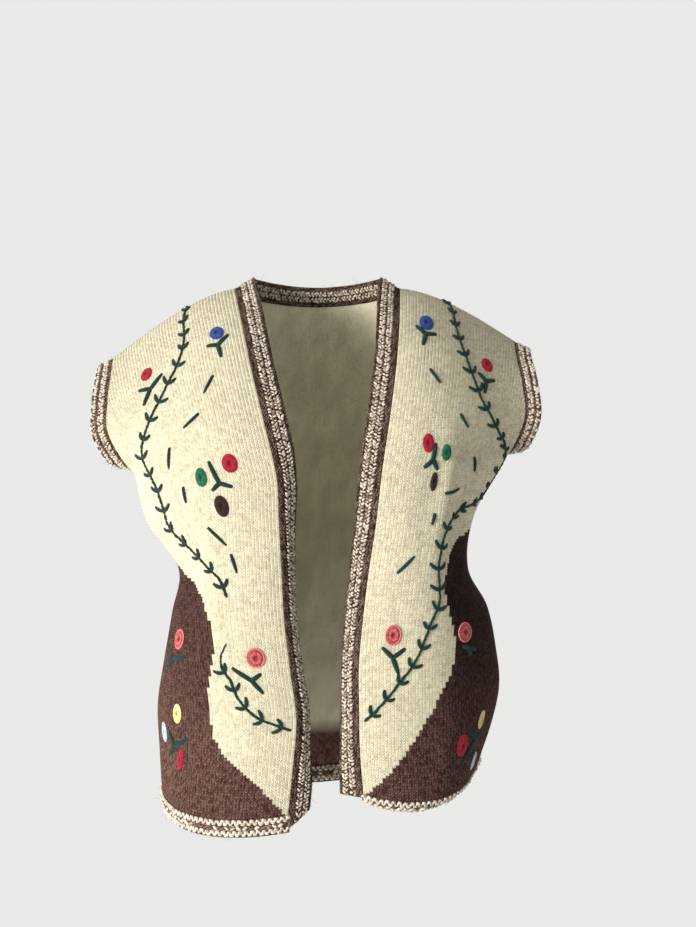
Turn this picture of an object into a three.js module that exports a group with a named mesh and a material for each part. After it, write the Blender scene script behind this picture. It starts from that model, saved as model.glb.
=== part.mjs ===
import * as THREE from 'three';

// Open wool vest as worn, with nobody in it. Millimetres. X runs to the right as seen from the
// front, the front faces -Y and Z is up. The origin is midway between the two points where the
// shoulder seams meet the neck. "right" and "left" are the wearer's, so right lies at -X.

const PANEL_WALL = 3;         // single knitted panel
const BAND_WALL = 3.6;        // garter bands are a little thicker
const SEAM_GAP = 0.4;         // each piece stops this far short of the seam line
const FRONT_BAND = 28;        // width of the band down each front and round the neck
const HEM_BAND = 22;
const ARMHOLE_BAND = 20;
const YARN_CLEAR = 1;       // embroidery stays this far off the panel
const YARN_HEIGHT = 2;        // and stands this high
const STEM_HALF = 1.3;
const LEAF_HALF = 6.3;
const LEAF_ROOT = 3.2;        // the leaves of a sprig part this far from its middle
const LEAF_LEAN = 5;          // leaf tips lie this far ahead of their root
const LEAF_STEP = 24;         // one pair of leaves to the next

const ROW_STEPS = 3;          // panel facets from one section to the next
const FRONT_COLUMNS = 13;
const BACK_SHOULDER_COLUMNS = 5;
const BACK_NECK_COLUMNS = 8;
const BAND_STEPS = 2;
const UNDERARM = 7;           // the section where side seam ends and armhole begins
const SHOULDER = 11;          // the last section, along the shoulder seam
const NECK_SHARE = 0.3;       // neck point on the top edge of the back, as a share of its width
const ARMHOLE_ROUND = { x: 0.4, y: 1.8, z: 0.2 };
const ARMHOLE_INSET = 2.6;   // the band sits this far inside the armhole at the underarm
const BACK_CENTRE_X = 5;
const NECK_CENTRE = { y: 58, z: -16 };

const COLOUR = {
  cream: 0xe9dfc2, brown: 0x6b4a45, band: 0x84685c, vine: 0x1f4a45, blue: 0x27479f,
  red: 0xb81f33, green: 0x1f6b45, umber: 0x33201c, coral: 0xe8736c, yellow: 0xe9d98b,
  sky: 0xa9cbd6,
};

const table = (columns, rows) =>
  rows.map((row) => Object.fromEntries(columns.map((name, i) => [name, row[i]])));

// One row for each section of a front, hem first: the band seam, the side seam or armhole edge,
// and how full the curve between them is.
const SECTION = ['level', 'edgeX', 'edgeY', 'seamX', 'seamY', 'seamZ', 'flat', 'deep', 'open',
  'crown', 'rise'];
const FRONT_RIGHT = table(SECTION, [
  [-628, -27, -121, -186, 5, -612, 0.62, 0.70, 0, 16, -19],
  [-570, -21, -125, -189, 5, -562, 0.62, 0.70, 0, 16, -8],
  [-515, -17, -127, -191, 5, -512, 0.62, 0.72, 0, 16, 0],
  [-460, -24, -128, -183, 5, -458, 0.62, 0.75, 0, 16, 0],
  [-400, -31, -130, -173, 5, -400, 0.60, 0.80, 0, 16, 0],
  [-345, -34, -132, -165, 5, -345, 0.60, 0.80, 0, 16, 0],
  [-285, -37, -134, -204, 3, -288, 0.60, 0.70, 0, 14, 0],
  [-232, -40, -131, -221, 0, -228, 0.60, 0.70, 0.05, 12, 0],
  [-165, -56, -121, -246, -50, -183, 0.50, 0.50, 0.30, 10, 0],
  [-105, -71, -99, -248, -48, -143, 0.40, 0.40, 0.35, 8, 1],
  [-50, -84, -62, -247, -26, -110, 0.33, 0.35, 0.33, 6, 5],
  [0, -97, 10, -247, 0, -87, 0.33, 0.35, 0.33, 0, 9],
]);
const FRONT_LEFT = table(SECTION, [
  [-603, 61, -121, 204, 5, -567, 0.60, 0.70, 0, 14, -37],
  [-550, 57, -125, 220, 5, -529, 0.60, 0.70, 0, 14, -16],
  [-500, 56, -127, 229, 5, -489, 0.60, 0.70, 0, 14, -3],
  [-450, 56, -128, 225, 5, -445, 0.60, 0.75, 0, 14, 0],
  [-395, 61, -130, 214, 5, -393, 0.55, 0.85, 0, 14, 0],
  [-345, 67, -132, 190, 5, -345, 0.55, 0.95, 0, 14, 0],
  [-285, 76, -134, 197, 3, -282, 0.50, 0.85, 0, 14, 0],
  [-225, 83, -131, 238, 0, -208, 0.45, 0.60, 0.05, 12, 0],
  [-165, 92, -121, 256, -50, -163, 0.45, 0.50, 0.30, 10, 0],
  [-105, 100, -99, 254, -48, -122, 0.40, 0.40, 0.35, 8, 1],
  [-50, 105, -62, 249, -26, -88, 0.33, 0.35, 0.33, 6, 5],
  [0, 107, 10, 248, 0, -66, 0.33, 0.35, 0.33, 0, 9],
]);
// The back shares its seam points with the fronts, so a row only says how it bows behind.
const BACK = table(['level', 'depth', 'flat', 'deep', 'open', 'rise'], [
  [-612, 120, 0.60, 0.70, 0, -6],
  [-558, 122, 0.60, 0.70, 0, -3],
  [-507, 121, 0.60, 0.72, 0, 0],
  [-455, 116, 0.60, 0.75, 0, 0],
  [-398, 108, 0.58, 0.80, 0, 0],
  [-345, 102, 0.58, 0.80, 0, 0],
  [-285, 108, 0.58, 0.72, 0, 0],
  [-228, 116, 0.58, 0.70, 0.05, 0],
  [-165, 118, 0.50, 0.50, 0.30, 0],
  [-105, 110, 0.40, 0.40, 0.35, 1],
  [-50, 88, 0.33, 0.35, 0.33, 4],
]);

// Soft folds: from one place to another on a panel, with half width and height in mm.
const FOLDS = table(['panel', 'topS', 'topRow', 'endS', 'endRow', 'width', 'depth'], [
  ['right', 0.34, 6.4, 0.40, 2.6, 16, 3.5],
  ['right', 0.53, 6.2, 0.56, 2.8, 20, -5],
  ['right', 0.45, 6.9, 0.85, 5.0, 11, -2.5],
  ['right', 0.75, 2.4, 0.72, -0.6, 15, -3],
  ['left', 0.38, 8.4, 0.36, 4.2, 14, 5],
  ['left', 0.56, 8.0, 0.52, 4.0, 20, -6],
  ['left', 0.42, 6.7, 0.86, 5.2, 11, -2.5],
  ['left', 0.44, 2.6, 0.44, -0.6, 17, 3],
  ['left', 0.72, 2.4, 0.70, -0.6, 15, -3],
  ['back', 0.50, 6.6, 0.50, 3.4, 40, -4],
]);

// How far each front band turns back from its panel, in degrees, by section number.
const BAND_TURN = {
  right: table(['row', 'turn'], [[0, 20], [0.6, 24], [1.6, 56], [2.8, 62], [4.4, 60], [5.9, 50],
    [7, 34], [7.4, 18], [8, 6], [10, 6], [11, 8]]),
  left: table(['row', 'turn'], [[0, 0], [0.6, 18], [1.3, 34], [2.9, 42], [3.7, 38], [4.9, 30],
    [6.1, 14], [7.6, 5], [10, 8], [11, 8]]),
};
const BAND_DROP = { right: { seam: 16, free: -6 }, left: { seam: 5, free: -1 } };
const HEM_SEAM_TURN = 10;     // at the side seams both hem bands turn and lean alike
const SEAM_LEAN = 0.2;
const BEND = 10;              // a turned band bends over this width next to its seam

// Where the free edge of the armhole band points, from underarm round to shoulder.
const ARMHOLE_AIM = table(['place', 'out', 'up'], [
  [0, 0.90, 0.30], [0.22, 0.86, -0.36], [0.5, 1, -0.06], [0.8, 0.95, -0.22], [1, 0.82, -0.57],
]);

// Across each band: distance from the seam and height of the knitted ridges.
const RIDGES = table(['at', 'height'], [
  [0, 0], [0.25, 0], [0.34, 1.5], [0.46, 1.5], [0.55, 0.1], [0.66, 1.5], [0.87, 1.5], [1, -0.3],
]);

const STEMS = {
  vine_right_upper: { panel: 'right', path: [[0.36, 10.9], [0.40, 10.5], [0.42, 9.9],
    [0.48, 9.4], [0.54, 9.1], [0.61, 8.7], [0.68, 8.3], [0.73, 7.85], [0.74, 7.4], [0.67, 7.0],
    [0.60, 6.6], [0.57, 5.9], [0.49, 5.5], [0.41, 5.2], [0.33, 4.9], [0.29, 4.5]] },
  vine_right_lower: { panel: 'right', path: [[0.31, 4.0], [0.33, 3.5], [0.33, 3.05],
    [0.29, 2.8], [0.26, 2.4], [0.19, 2.05], [0.10, 1.88], [0.025, 1.76]] },
  vine_left: { panel: 'left', path: [[0.38, 10.92], [0.42, 10.8], [0.46, 10.2], [0.51, 9.65],
    [0.56, 9.2], [0.64, 8.45], [0.71, 8.05], [0.77, 7.6], [0.86, 7.2], [0.94, 6.9],
    [0.91, 6.62], [0.81, 6.38], [0.63, 6.2], [0.49, 6.05], [0.40, 5.85], [0.37, 5.3],
    [0.38, 4.6], [0.37, 4.2], [0.33, 3.85], [0.28, 3.2], [0.23, 2.8], [0.15, 2.3],
    [0.08, 1.9], [0.025, 1.65]] },
};
const FLOWERS = table(['name', 'panel', 's', 'row', 'wide', 'high', 'tilt',
  'colour'], [
  ['flower_right_blue', 'right', 0.18, 9.9, 16, 15, 0, 'blue'],
  ['flower_right_red_top', 'right', 0.71, 9.47, 14, 17, -25, 'red'],
  ['flower_right_green', 'right', 0.35, 6.95, 13, 21, 10, 'green'],
  ['flower_right_red_mid', 'right', 0.21, 7.23, 17, 21, 12, 'red'],
  ['flower_right_umber', 'right', 0.26, 6.35, 15, 24, 15, 'umber'],
  ['flower_right_coral_front', 'right', 0.16, 3.28, 20, 22, -10, 'coral'],
  ['flower_right_coral_side', 'right', 0.62, 3.55, 18, 23, -10, 'coral'],
  ['flower_right_yellow', 'right', 0.60, 1.98, 14, 22, 0, 'yellow'],
  ['flower_right_sky', 'right', 0.75, 1.48, 14, 23, 0, 'sky'],
  ['flower_right_red_low', 'right', 0.58, 1.03, 8, 25, -15, 'red'],
  ['flower_left_blue', 'left', 0.21, 10.1, 16, 17, 0, 'blue'],
  ['flower_left_red_top', 'left', 0.71, 9.38, 14, 18, 10, 'red'],
  ['flower_left_red_mid', 'left', 0.24, 7.48, 12, 21, 0, 'red'],
  ['flower_left_green', 'left', 0.34, 7.25, 10, 18, -10, 'green'],
  ['flower_left_umber', 'left', 0.28, 6.70, 7, 21, 0, 'umber'],
  ['flower_left_coral_front', 'left', 0.15, 3.60, 17, 23, 0, 'coral'],
  ['flower_left_coral_side', 'left', 0.52, 3.58, 20, 22, 0, 'coral'],
  ['flower_left_yellow', 'left', 0.66, 1.40, 13, 21, -12, 'yellow'],
  ['flower_left_red_low', 'left', 0.52, 0.97, 17, 25, 0, 'red'],
  ['flower_left_sky', 'left', 0.66, 0.43, 8, 20, -28, 'sky'],
]);
// Three leaf stitches from one point. The tips are given as seen from the front.
const SPRIGS = table(['name', 'panel', 's', 'row', 'x1', 'z1', 'x2', 'z2', 'x3', 'z3'], [
  ['sprig_right_blue', 'right', 0.185, 9.62, -13, 2, 14, 10, 2, -15],
  ['sprig_right_red', 'right', 0.68, 9.03, -15, 2, 15, 14, -9, -18],
  ['sprig_right_trio', 'right', 0.265, 6.84, -12, 24, 15, -4, -9, -9],
  ['sprig_right_coral', 'right', 0.19, 2.82, -22, 14, 12, 8, 12, -15],
  ['sprig_right_coral_side', 'right', 0.65, 3.15, -9, 5, 9, 4, -2, -10],
  ['sprig_right_low', 'right', 0.625, 1.28, -8, 17, 15, 12, -12, -17],
  ['sprig_left_blue', 'left', 0.205, 9.80, -13, 4, 14, -2, -2, -14],
  ['sprig_left_red', 'left', 0.69, 8.93, -9, 9, 11, 3, -3, -14],
  ['sprig_left_trio', 'left', 0.265, 7.12, 4, 20, -10, -8, 6, -12],
  ['sprig_left_coral', 'left', 0.155, 3.12, -13, 12, 14, 10, 7, -20],
  ['sprig_left_coral_side', 'left', 0.55, 3.22, -8, 3, 8, -3, 1, -9],
  ['sprig_left_low', 'left', 0.62, 1.0, -6, 13, -12, -23, 8, 4],
]);

const vec = (x, y, z) => new THREE.Vector3(x, y, z);
const mix = (a, b, t) => a.clone().lerp(b, t);
const step = (a, b, x) => THREE.MathUtils.smoothstep(x, a, b);
const steps = (count) => Array.from({ length: count + 1 }, (_, i) => i / count);

// Value of a named column at a place between the rows of a table.
function lookUp(rows, key, place, column) {
  const next = rows.findIndex((row) => row[key] >= place);
  if (next === 0) return rows[0][column];
  if (next < 0) return rows[rows.length - 1][column];
  const a = rows[next - 1];
  const b = rows[next];
  const t = (place - a[key]) / (b[key] - a[key]);
  return THREE.MathUtils.lerp(a[column], b[column], t);
}

// Points spaced evenly along a curve, given as samples.
function spaced(points) {
  const along = [0];
  for (let i = 1; i < points.length; i += 1) {
    along.push(along[i - 1] + points[i].distanceTo(points[i - 1]));
  }
  return (t) => {
    const want = THREE.MathUtils.clamp(t, 0, 1) * along[along.length - 1];
    let i = along.findIndex((length) => length >= want);
    i = Math.max(1, i < 0 ? along.length - 1 : i);
    return mix(points[i - 1], points[i], (want - along[i - 1]) / (along[i] - along[i - 1]));
  };
}

const bow = (a, b, c, d) => spaced(new THREE.CubicBezierCurve3(a, b, c, d).getPoints(60));

function frontSection(row) {
  const rise = row.rise;
  const side = row.seamX - row.edgeX;
  const up = row.seamZ - row.level;
  return bow(
    vec(row.edgeX, row.edgeY, row.level),
    vec(row.edgeX + row.flat * side, row.edgeY - row.crown, row.level + 0.6 * row.flat * up + rise),
    vec(row.seamX - row.open * side, row.seamY + row.deep * (row.edgeY - row.seamY),
      row.seamZ - row.open * up + rise),
    vec(row.seamX, row.seamY, row.seamZ),
  );
}

// Half of a back section, from the seam to the centre. The armhole mirrors that of the front.
function backHalf(row, seam, above) {
  const seamY = above ? -seam.seamY : seam.seamY;
  const side = seam.seamX - BACK_CENTRE_X;
  const up = seam.seamZ - row.level;
  return bow(
    vec(seam.seamX, seamY, seam.seamZ),
    vec(seam.seamX - row.open * side, seamY + row.deep * (row.depth - seamY),
      seam.seamZ - row.open * up + row.rise),
    vec(BACK_CENTRE_X + row.flat * side, row.depth, row.level + 0.6 * row.flat * up + row.rise),
    vec(BACK_CENTRE_X, row.depth, row.level),
  );
}

function blend(p, q, r, t, m0, m1) {
  const t2 = t * t;
  const t3 = t2 * t;
  return p.clone().multiplyScalar(2 * t3 - 3 * t2 + 1)
    .addScaledVector(q, 3 * t2 - 2 * t3)
    .addScaledVector(m0, t3 - 2 * t2 + t)
    .addScaledVector(m1, t3 - t2);
}

// A smooth surface through the sections. Near the edge named by cornerWeight the surface has
// a corner at the underarm, where the seam ends and the armhole starts to curve away.
function loft(sections, ghost, cornerWeight) {
  return (s, row) => {
    const i = Math.min(Math.max(Math.floor(row), 0), SHOULDER - 1);
    const p = sections[i](s);
    const q = sections[i + 1](s);
    const before = i > 0 ? sections[i - 1](s) : p.clone().multiplyScalar(2).sub(q);
    const after = i + 2 <= SHOULDER ? sections[i + 2](s) : ghost(s);
    const m0 = q.clone().sub(before).multiplyScalar(0.5);
    const m1 = after.sub(p).multiplyScalar(0.5);
    const smooth = blend(p, q, null, row - i, m0, m1);
    const weight = cornerWeight(s);
    if (weight === 0 || (i !== UNDERARM && i !== UNDERARM - 1)) return smooth;
    const d = q.clone().sub(p);
    const round = vec(d.x * ARMHOLE_ROUND.x, d.y * ARMHOLE_ROUND.y, d.z * ARMHOLE_ROUND.z);
    const corner = i === UNDERARM ? blend(p, q, null, row - i, round, m1)
      : blend(p, q, null, row - i, m0, d);
    return smooth.lerp(corner, weight);
  };
}

// The surface beyond the shoulder seam mirrors the last stretch before it.
const overShoulder = (sections) => (s) => {
  const last = sections[SHOULDER](s);
  const before = sections[SHOULDER - 1](s);
  return vec(before.x, 2 * last.y - before.y, before.z);
};

function surfaces() {
  const found = {};
  for (const [name, rows] of [['right', FRONT_RIGHT], ['left', FRONT_LEFT]]) {
    const sections = rows.map(frontSection);
    found[name] = loft(sections, overShoulder(sections), (s) => step(0.8, 1, s));
    found[name].top = sections[SHOULDER];
  }
  const neckMiddle = vec(BACK_CENTRE_X, NECK_CENTRE.y, NECK_CENTRE.z);
  const neckHalf = (neck) => bow(neck, vec(neck.x * 0.97, 45, -8),
    vec(neck.x * 0.45, NECK_CENTRE.y, NECK_CENTRE.z), neckMiddle);
  const necks = {
    right: neckHalf(found.right.top(0)),
    left: neckHalf(found.left.top(0)),
  };
  const sections = BACK.map((row, i) => {
    const above = i > UNDERARM;
    const right = backHalf(row, FRONT_RIGHT[i], above);
    const left = backHalf(row, FRONT_LEFT[i], above);
    return (s) => (s < 0.5 ? right(2 * s) : left(2 - 2 * s));
  });
  sections.push((s) => {
    const side = s < 0.5 ? 'right' : 'left';
    const t = s < 0.5 ? s : 1 - s;
    if (t <= NECK_SHARE) return found[side].top(1 - t / NECK_SHARE);
    return necks[side]((t - NECK_SHARE) / (0.5 - NECK_SHARE));
  });
  const over = overShoulder(sections);
  const ghost = (s) => {
    const onward = sections[SHOULDER](s).multiplyScalar(2).sub(sections[SHOULDER - 1](s));
    const t = Math.min(s, 1 - s);
    return over(s).lerp(onward, step(NECK_SHARE - 0.04, NECK_SHARE + 0.06, t));
  };
  found.back = loft(sections, ghost, (s) => step(0.4, 0.5, Math.abs(s - 0.5)));
  return found;
}

const OUTWARD = { right: -1, left: 1, back: -1 };

function normalAt(surface, name, s, row) {
  const e = 0.01;
  const ds = surface(Math.min(s + e, 1), row).sub(surface(Math.max(s - e, 0), row));
  const dr = surface(s, Math.min(row + e, SHOULDER)).sub(surface(s, Math.max(row - e, 0)));
  return ds.cross(dr).multiplyScalar(OUTWARD[name]).normalize();
}

// The surface with its folds.
function folded(surface, name) {
  const folds = FOLDS.filter((fold) => fold.panel === name);
  const widths = steps(SHOULDER).map((t) => {
    const pts = steps(24).map((s) => surface(s, t * SHOULDER));
    return pts.slice(1).reduce((sum, p, i) => sum + p.distanceTo(pts[i]), 0);
  });
  return (s, row) => {
    let lift = 0;
    for (const fold of folds) {
      const along = (fold.topRow - row) / (fold.topRow - fold.endRow);
      if (along <= 0 || along >= 1) continue;
      const middle = THREE.MathUtils.lerp(fold.topS, fold.endS, along);
      const off = ((s - middle) * widths[Math.round(row)]) / fold.width;
      lift += fold.depth * Math.sin(Math.PI * along) ** 2 * Math.exp(-off * off);
    }
    const point = surface(s, row);
    return lift === 0 ? point : point.addScaledVector(normalAt(surface, name, s, row), lift);
  };
}

function closedGrid(outer, inner, ring) {
  const rows = outer.length;
  const columns = outer[0].length;
  const position = [];
  for (const layer of [outer, inner]) {
    for (const line of layer) for (const p of line) position.push(p.x, p.y, p.z);
  }
  const at = (layer, i, j) => layer * rows * columns + (i % rows) * columns + j;
  const index = [];
  const quad = (a, b, c, d) => index.push(a, b, c, a, c, d);
  const last = ring ? rows : rows - 1;
  for (let i = 0; i < last; i += 1) {
    for (let j = 0; j + 1 < columns; j += 1) {
      quad(at(0, i, j), at(0, i, j + 1), at(0, i + 1, j + 1), at(0, i + 1, j));
      quad(at(1, i, j), at(1, i + 1, j), at(1, i + 1, j + 1), at(1, i, j + 1));
    }
    quad(at(0, i, 0), at(0, i + 1, 0), at(1, i + 1, 0), at(1, i, 0));
    const j = columns - 1;
    quad(at(0, i, j), at(1, i, j), at(1, i + 1, j), at(0, i + 1, j));
  }
  if (!ring) {
    for (let j = 0; j + 1 < columns; j += 1) {
      quad(at(0, 0, j), at(1, 0, j), at(1, 0, j + 1), at(0, 0, j + 1));
      const i = rows - 1;
      quad(at(0, i, j), at(0, i, j + 1), at(1, i, j + 1), at(1, i, j));
    }
  }
  return solid(position, index);
}

// Geometry from points and triangles, turned the right way out.
function solid(position, index) {
  const corner = (k) => vec(position[3 * k], position[3 * k + 1], position[3 * k + 2]);
  let volume = 0;
  for (let i = 0; i < index.length; i += 3) {
    volume += corner(index[i]).dot(corner(index[i + 1]).cross(corner(index[i + 2])));
  }
  if (volume < 0) {
    for (let i = 0; i < index.length; i += 3) {
      [index[i + 1], index[i + 2]] = [index[i + 2], index[i + 1]];
    }
  }
  const geometry = new THREE.BufferGeometry();
  geometry.setAttribute('position', new THREE.Float32BufferAttribute(position, 3));
  geometry.setIndex(index);
  geometry.computeVertexNormals();
  return geometry;
}

// A knitted panel, and the facets that the embroidery is laid on.
function panel(surface, name, columns) {
  const rows = steps(SHOULDER * ROW_STEPS).map((t) => t * SHOULDER);
  const gapS = (row) => {
    const width = surface(0, row).distanceTo(surface(1, row));
    return SEAM_GAP / Math.max(width, 1);
  };
  const places = rows.map((row) => columns.map((s) => {
    const gap = gapS(row);
    return { s: THREE.MathUtils.clamp(s, gap, 1 - gap), row: Math.min(row, SHOULDER - 0.01) };
  }));
  const grid = places.map((line) => line.map((place) => surface(place.s, place.row)));
  const normals = places.map((line) => line.map((place) =>
    normalAt(surface, name, place.s, place.row)));
  const inner = grid.map((line, i) => line.map((p, j) =>
    p.clone().addScaledVector(normals[i][j], -PANEL_WALL)));
  const facet = (s, row, lift) => {
    const x = THREE.MathUtils.clamp(s, 0, 0.9999) * (columns.length - 1);
    const y = THREE.MathUtils.clamp(row * ROW_STEPS, 0, rows.length - 1.0001);
    const j = Math.floor(x);
    const i = Math.floor(y);
    const a = x - j;
    const b = y - i;
    const blended = (layer) => {
      const p = layer[i][j];
      const far = layer[i + 1][j + 1];
      const side = a > b ? layer[i][j + 1] : layer[i + 1][j];
      return p.clone().multiplyScalar(1 - Math.max(a, b))
        .addScaledVector(side, Math.abs(a - b)).addScaledVector(far, Math.min(a, b));
    };
    return blended(grid).addScaledVector(blended(normals).normalize(), lift);
  };
  return { geometry: closedGrid(grid, inner, false), facet };
}

// A band knitted on to an edge. Each station has a base point, the way across the band, the
// way it faces and how far it turns back.
function band(stations, width, ring = false) {
  const turnedTo = (station, w) => {
    const angle = THREE.MathUtils.degToRad(station.turn || 0);
    const parts = 8;
    const place = station.base.clone().addScaledVector(station.across, SEAM_GAP);
    let aim = station.across;
    let face = station.face;
    for (let k = 0; k < parts; k += 1) {
      const at = (w * (k + 0.5)) / parts;
      const turned = angle * Math.min(at / BEND, 1);
      aim = station.across.clone().multiplyScalar(Math.cos(turned))
        .addScaledVector(station.face, -Math.sin(turned));
      place.addScaledVector(aim, w / parts);
    }
    const turned = angle * Math.min(w / BEND, 1);
    face = station.face.clone().multiplyScalar(Math.cos(turned))
      .addScaledVector(station.across, Math.sin(turned));
    return { place, face };
  };
  const outer = [];
  const inner = [];
  for (const station of stations) {
    const line = RIDGES.map((ridge) => {
      const { place, face } = turnedTo(station, ridge.at * width);
      if (station.drop) place.addScaledVector(station.down, station.drop(ridge.at));
      return { place, face, height: ridge.height };
    });
    outer.push(line.map((p) => p.place.clone().addScaledVector(p.face, p.height)));
    inner.push(line.map((p) => p.place.clone().addScaledVector(p.face, -BAND_WALL)));
  }
  return closedGrid(outer, inner, ring);
}

// Base frame on an edge: across is square to the edge and carries the panel on.
function edgeFrame(base, tangent, normal, away) {
  const t = tangent.clone().normalize();
  const face = normal.clone().addScaledVector(t, -normal.dot(t)).normalize();
  const across = face.clone().cross(t).normalize();
  if (across.dot(away) < 0) across.negate();
  return { base, across, face };
}

function frontBand(surface, name) {
  const e = 0.02;
  const stations = steps(SHOULDER * BAND_STEPS).map((t) => {
    const row = t * (SHOULDER - 0.02);
    const base = surface(0, row);
    const tangent = surface(0, Math.min(row + e, SHOULDER)).sub(surface(0, Math.max(row - e, 0)));
    const away = base.clone().sub(surface(0.05, row));
    const normal = normalAt(surface, name, 0.01, row);
    const frame = edgeFrame(base, tangent, normal, away);
    const top = step(9.4, SHOULDER, row);
    const across = mix(frame.across, neckAim(name === 'right' ? 0 : 1), top);
    tangent.normalize();
    across.addScaledVector(tangent, -across.dot(tangent)).normalize();
    const face = across.clone().cross(tangent).normalize();
    if (face.dot(frame.face) < 0) face.negate();
    return { base, across, face,
      turn: lookUp(BAND_TURN[name], 'row', row, 'turn') * (1 - top) };
  });
  const low = stations[0];
  const down = vec(0, 0, -1);
  const drop = BAND_DROP[name];
  stations.unshift({ ...low, down,
    drop: (at) => THREE.MathUtils.lerp(drop.seam, drop.free, at) });
  stations[1] = { ...low, base: low.base.clone().lerp(stations[2].base, 0.35) };
  return band(stations, FRONT_BAND);
}

function hemBand(surface, name, columns, turn) {
  const e = 0.01;
  const stations = columns.map((s) => {
    const inside = THREE.MathUtils.clamp(s, 0.004, 0.996);
    const base = surface(inside, 0);
    const tangent = surface(Math.min(inside + e, 1), 0).sub(surface(Math.max(inside - e, 0), 0));
    const away = base.clone().sub(surface(inside, 0.2));
    const frame = edgeFrame(base, tangent, normalAt(surface, name, inside, 0.02), away);
    const seam = step(0.8, 1, name === 'back' ? 2 * Math.abs(s - 0.5) : s);
    const shared = vec(SEAM_LEAN * Math.sign(base.x), 0, -1).normalize();
    frame.across.lerp(shared, seam);
    if (name !== 'back') frame.across.x *= step(0, 0.25, s);
    frame.across.normalize();
    frame.face.addScaledVector(frame.across, -frame.face.dot(frame.across)).normalize();
    return { ...frame, turn: THREE.MathUtils.lerp(turn, HEM_SEAM_TURN, seam) };
  });
  return band(stations, HEM_BAND);
}

function armholeBand(front, back, side) {
  const out = side === 'right' ? -1 : 1;
  const backS = side === 'right' ? 0 : 1;
  const span = SHOULDER - UNDERARM;
  const places = steps(11).map((t) => t ** 1.25);
  const edge = [
    ...places.map((t) => ({ t, base: front(1, UNDERARM + t * span) })),
    ...places.slice(1, -1).reverse().map((t) => ({ t, base: back(backS, UNDERARM + t * span) })),
  ];
  const middle = edge.reduce((sum, p) => sum.add(p.base), vec(0, 0, 0))
    .divideScalar(edge.length);
  const stations = edge.map(({ t, base }, i) => {
    const next = edge[(i + 1) % edge.length].base;
    const before = edge[(i + edge.length - 1) % edge.length].base;
    const tangent = next.clone().sub(before).normalize();
    const across = vec(out * lookUp(ARMHOLE_AIM, 'place', t, 'out'), 0,
      lookUp(ARMHOLE_AIM, 'place', t, 'up'));
    across.addScaledVector(tangent, -across.dot(tangent)).normalize();
    const face = tangent.clone().cross(across).normalize();
    if (face.dot(base.clone().sub(middle)) < 0) face.negate();
    return { base: base.clone().addScaledVector(face, -ARMHOLE_INSET * (1 - t)), across, face };
  });
  return band(stations, ARMHOLE_BAND, true);
}

// Where the band stands at the neck: inward and up at the shoulders, back and up behind.
function neckAim(share) {
  const round = Math.PI * share;
  return vec(0.86 * Math.cos(round), 0.06 - 0.72 * Math.sin(round), 0.46 + 0.29 * Math.sin(round));
}

function neckBand(back) {
  const columns = steps(BACK_NECK_COLUMNS);
  const e = 0.01;
  const stations = columns.map((q) => {
    const share = THREE.MathUtils.clamp(q, 0.008, 0.992);
    const s = NECK_SHARE + share * (1 - 2 * NECK_SHARE);
    const base = back(s, SHOULDER);
    const tangent = back(Math.min(s + e, 1 - NECK_SHARE), SHOULDER)
      .sub(back(Math.max(s - e, NECK_SHARE), SHOULDER)).normalize();
    const aim = neckAim(share);
    aim.addScaledVector(tangent, -aim.dot(tangent)).normalize();
    const frame = edgeFrame(base, tangent, normalAt(back, 'back', s, SHOULDER - 0.02),
      base.clone().sub(back(s, SHOULDER - 0.3)));
    const own = step(0.02, 0.2, 0.5 - Math.abs(share - 0.5));
    const across = aim.clone().lerp(frame.across, own);
    across.addScaledVector(tangent, -across.dot(tangent)).normalize();
    const face = across.clone().cross(tangent).normalize();
    if (face.y + face.z < 0) face.negate();
    const turn = THREE.MathUtils.radToDeg(Math.atan2(-aim.dot(face), aim.dot(across)));
    return { base, across, face, turn };
  });
  return band(stations, FRONT_BAND);
}

// A pad of stitches: an outline on the panel around a middle, raised in the centre.
function pad(facet, middle, outline, height) {
  const position = [];
  const put = (place, lift) => {
    const p = facet(place.s, place.row, lift);
    position.push(p.x, p.y, p.z);
  };
  put(middle, YARN_CLEAR);
  put(middle, YARN_CLEAR + height);
  for (const place of outline) put(place, YARN_CLEAR);
  for (const place of outline) {
    put({ s: THREE.MathUtils.lerp(place.s, middle.s, 0.12),
      row: THREE.MathUtils.lerp(place.row, middle.row, 0.12) }, YARN_CLEAR + 0.7 * height);
  }
  const n = outline.length;
  const index = [];
  for (let k = 0; k < n; k += 1) {
    const a = 2 + k;
    const b = 2 + ((k + 1) % n);
    index.push(0, b, a, 1, a + n, b + n, a, b, b + n, a, b + n, a + n);
  }
  return solid(position, index);
}

// Millimetres on the cloth, turned into panel coordinates around a place.
function scaleAt(facet, s, row) {
  const e = 0.02;
  const across = facet(s + e, row, 0).sub(facet(s - e, row, 0)).divideScalar(2 * e);
  const up = facet(s, row + e, 0).sub(facet(s, row - e, 0)).divideScalar(2 * e);
  return { across, up };
}

function flower(facet, item) {
  const { across, up } = scaleAt(facet, item.s, item.row);
  const tilt = THREE.MathUtils.degToRad(item.tilt);
  const outline = steps(10).slice(1).map((t) => {
    const a = (Math.cos(2 * Math.PI * t) * item.wide) / 2;
    const b = (Math.sin(2 * Math.PI * t) * item.high) / 2;
    const x = a * Math.cos(tilt) - b * Math.sin(tilt);
    const z = a * Math.sin(tilt) + b * Math.cos(tilt);
    return { s: item.s + (x * Math.sign(across.x)) / across.length(),
      row: item.row + z / up.length() };
  });
  return pad(facet, item, outline, YARN_HEIGHT);
}

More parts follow.
